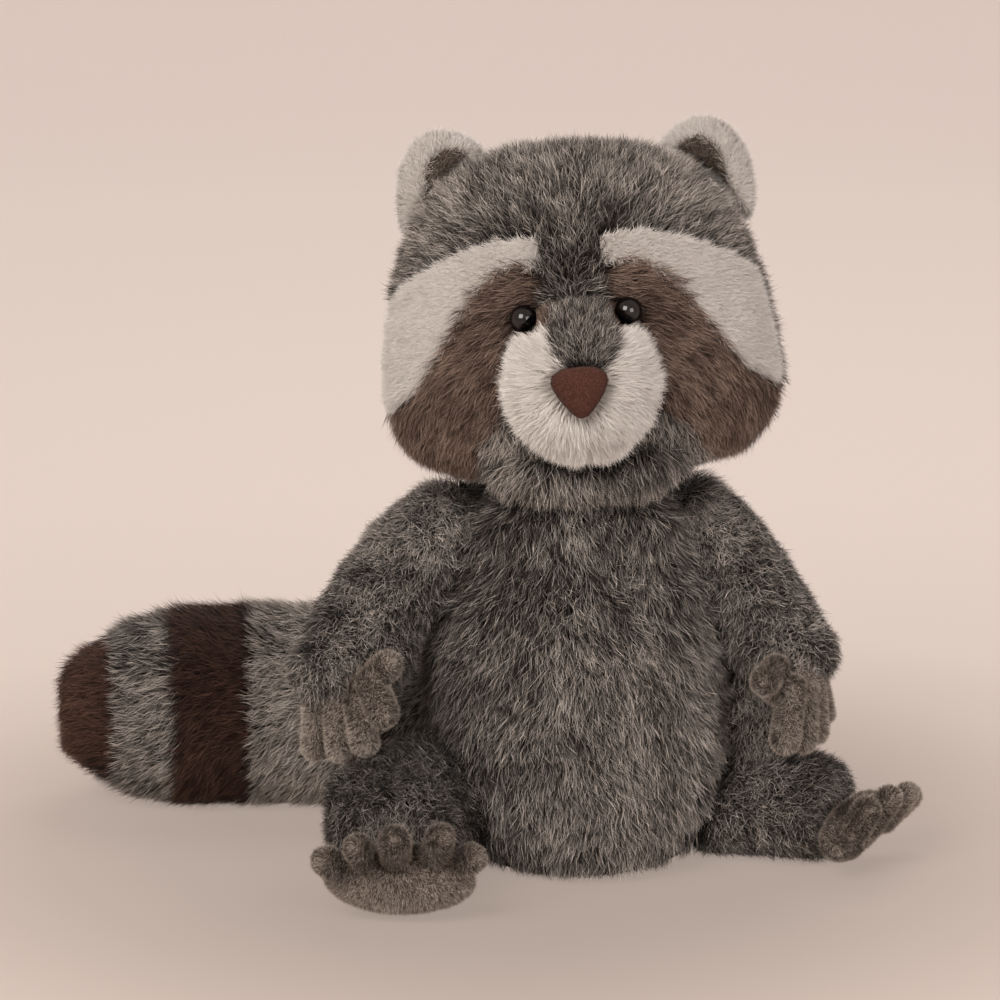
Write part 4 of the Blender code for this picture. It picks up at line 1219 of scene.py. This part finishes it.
class RACCOON_OT_eyes(bpy.types.Operator):
    """Moulds the domed eyes, each with its stem"""

    bl_idname = "raccoon.eyes"
    bl_label = "Eyes"

    def execute(self, context):
        material = eye_material()
        washer = washer_material()
        for side in SIDES:
            deselect()
            bpy.ops.mesh.primitive_uv_sphere_add(segments=64, ring_count=32, radius=EYE_RADIUS)
            eye = bpy.context.object
            eye.name = eye.data.name = f"eye_{side}_dome"
            bpy.ops.object.mode_set(mode="EDIT")
            bpy.ops.mesh.select_all(action="SELECT")
            bpy.ops.transform.resize(value=(1.0, 1.0, EYE_DOME / EYE_RADIUS))
            bpy.ops.mesh.bisect(
                plane_co=(0, 0, 0), plane_no=(0, 0, 1), use_fill=True, clear_inner=True
            )
            in_edit(eye, lambda face: face.normal.z < -0.9)
            extrude((0, 0, -EYE_RIM))
            bpy.ops.mesh.inset(thickness=EYE_RADIUS - STEM_RADIUS)
            extrude((0, 0, -STEM_LENGTH + EYE_RIM))
            bpy.ops.object.mode_set(mode="OBJECT")
            apply_modifier(
                eye, "BEVEL", width=0.0002, segments=3, limit_method="ANGLE", angle_limit=0.9
            )
            eye.data.shade_smooth()
            upright = Matrix.Rotation(math.radians(90), 4, "X")
            place_in_head(eye, Matrix.Translation(eye_middle(side)) @ upright)
            eye.data.materials.clear()
            eye.data.materials.append(material)
            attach(eye, "root")
            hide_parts(f"eye_{side}")
            for slot in NODES[f"eye_washer_{side}"].material_slots:
                slot.material = washer
        return {"FINISHED"}


class RACCOON_OT_nose(bpy.types.Operator):
    """Stuffs the nose and gives it its fine suede nap"""

    bl_idname = "raccoon.nose"
    bl_label = "Nose"

    def execute(self, context):
        pile = settings().nose_pile
        skin = Skin("nose", beside=("muzzle", "muzzle_bridge"))
        roots = scatter(skin, pile, "nose")
        nap = np.tile(DOWN, (len(roots.place), 1))
        grow("nose_nap", roots, pile, nap, SHADES["nose"], "suede")
        skin.finish("suede")
        skin.obj.data.materials.clear()
        skin.obj.data.materials.append(suede_material(settings().suede))
        return {"FINISHED"}


# Studio


def area_light(name, place, size, watts, colour):
    data = bpy.data.lights.new(name, "AREA")
    data.shape = "SQUARE"
    data.size = size
    data.energy = watts
    data.color = linear(colour)
    light = show(name, data)
    light.location = place
    light.rotation_euler = (Vector(place) - AIM).to_track_quat("Z", "Y").to_euler()


def stage_material():
    """Seamless paper: matt and plain pale beige. The camera and glossy pieces see it with a painted
    shadow that pales away from the toy, and mostly by its own painted glow."""
    made, tree = new_material("seamless_paper")
    flat = {0: add_node(tree, "TexCoord", "Object"), 1: (1.0, 1.0, 0.0)}
    level = add_node(tree, "VectorMath", "Vector", flat, operation="MULTIPLY")
    ends = {0: level, 1: (AIM.x, 0.0, 0.0)}
    gap = add_node(tree, "VectorMath", "Value", ends, operation="DISTANCE")
    share = add_node(tree, "MapRange", "Result", {"Value": gap, "From Max": PAPER_FAR})
    stops = [(place / PAPER_FAR, linear(value)) for place, value in PAPER_SHADOW_AND_GLOW]
    # painted shadow round the toy, paler away from it
    colour = ramp(tree, share, stops)
    camera = add_node(tree, "LightPath", "Is Camera Ray")
    rays = {0: camera, 1: camera.node.outputs["Is Glossy Ray"]}
    seen = add_node(tree, "Math", "Value", rays, operation="ADD")
    dimmed = mix(tree, 1 - PAPER_GLOW, (0.0, 0.0, 0.0, 1.0), colour)
    base = mix(tree, seen, (*linear(PAPER_PLAIN), 1.0), dimmed)
    glow = add_node(tree, "Math", "Value", {0: seen, 1: PAPER_GLOW}, operation="MULTIPLY")
    set_shader(tree, Base_Color=base, Emission_Color=colour, Emission_Strength=glow)
    set_shader(tree, Roughness=0.9, Specular_IOR_Level=0.0)
    return made


class RACCOON_OT_stage(bpy.types.Operator):
    """Sets up the paper, the lamps and the camera"""

    bl_idname = "raccoon.stage"
    bl_label = "Stage"

    def execute(self, context):
        deselect()
        bpy.ops.mesh.primitive_plane_add(size=6.0, location=(0, 0, -0.0002))
        paper = bpy.context.object
        paper.name = "paper"
        settle()
        context.tool_settings.mesh_select_mode = (False, True, False)
        for edge in paper.data.edges:
            edge.select = all(paper.data.vertices[i].co.y > 2.9 for i in edge.vertices)
        bpy.ops.object.mode_set(mode="EDIT")
        extrude((0, 0, 3.0))
        bpy.ops.object.mode_set(mode="OBJECT")
        apply_modifier(
            paper, "BEVEL", width=1.2, segments=16, affect="EDGES", limit_method="ANGLE"
        )
        paper.data.shade_smooth()
        paper.data.materials.append(stage_material())

        world = bpy.data.worlds.new("studio")
        context.scene.world = world
        world.use_nodes = True
        background = world.node_tree.nodes["Background"]
        background.inputs["Color"].default_value = (*linear("#FFFFFF"), 1.0)
        background.inputs["Strength"].default_value = WORLD_STRENGTH
        for lamp in LAMPS:
            area_light(*lamp)

        camera = show("camera", bpy.data.cameras.new("camera"))
        camera.data.lens = 150.0
        camera.data.sensor_width = 36.0
        away = Vector((0.0, -math.cos(ELEVATION), math.sin(ELEVATION)))
        camera.location = AIM + away * DISTANCE
        camera.rotation_euler = Euler((math.radians(90) - ELEVATION, 0.0, 0.0))
        context.scene.camera = camera
        context.scene.view_settings.view_transform = "Standard"
        return {"FINISHED"}


OPERATORS = (
    RACCOON_OT_body,
    RACCOON_OT_head,
    RACCOON_OT_muzzle,
    RACCOON_OT_chin_ruff,
    RACCOON_OT_ears,
    RACCOON_OT_limbs,
    RACCOON_OT_paws,
    RACCOON_OT_tail,
    RACCOON_OT_nose,
    RACCOON_OT_eyes,
    RACCOON_OT_stage,
)


class RACCOON_PT_pieces(bpy.types.Panel):
    """Lists the toy's pieces"""

    bl_label = "Plush Raccoon"
    bl_space_type = "VIEW_3D"
    bl_region_type = "UI"
    bl_category = "Plush Raccoon"

    def draw(self, context):
        for operator in OPERATORS:
            self.layout.operator(operator.bl_idname)


CLASSES = (*GROUPS.values(), RaccoonSettings, *OPERATORS, RACCOON_PT_pieces)


def register():
    for item in CLASSES:
        bpy.utils.register_class(item)
    bpy.types.Scene.plush_raccoon = PointerProperty(type=RaccoonSettings)


def unregister():
    del bpy.types.Scene.plush_raccoon
    for item in reversed(CLASSES):
        bpy.utils.unregister_class(item)


def main():
    register()
    for operator in OPERATORS:
        group, name = operator.bl_idname.split(".")
        getattr(getattr(bpy.ops, group), name)()


if __name__ == "__main__":
    main()
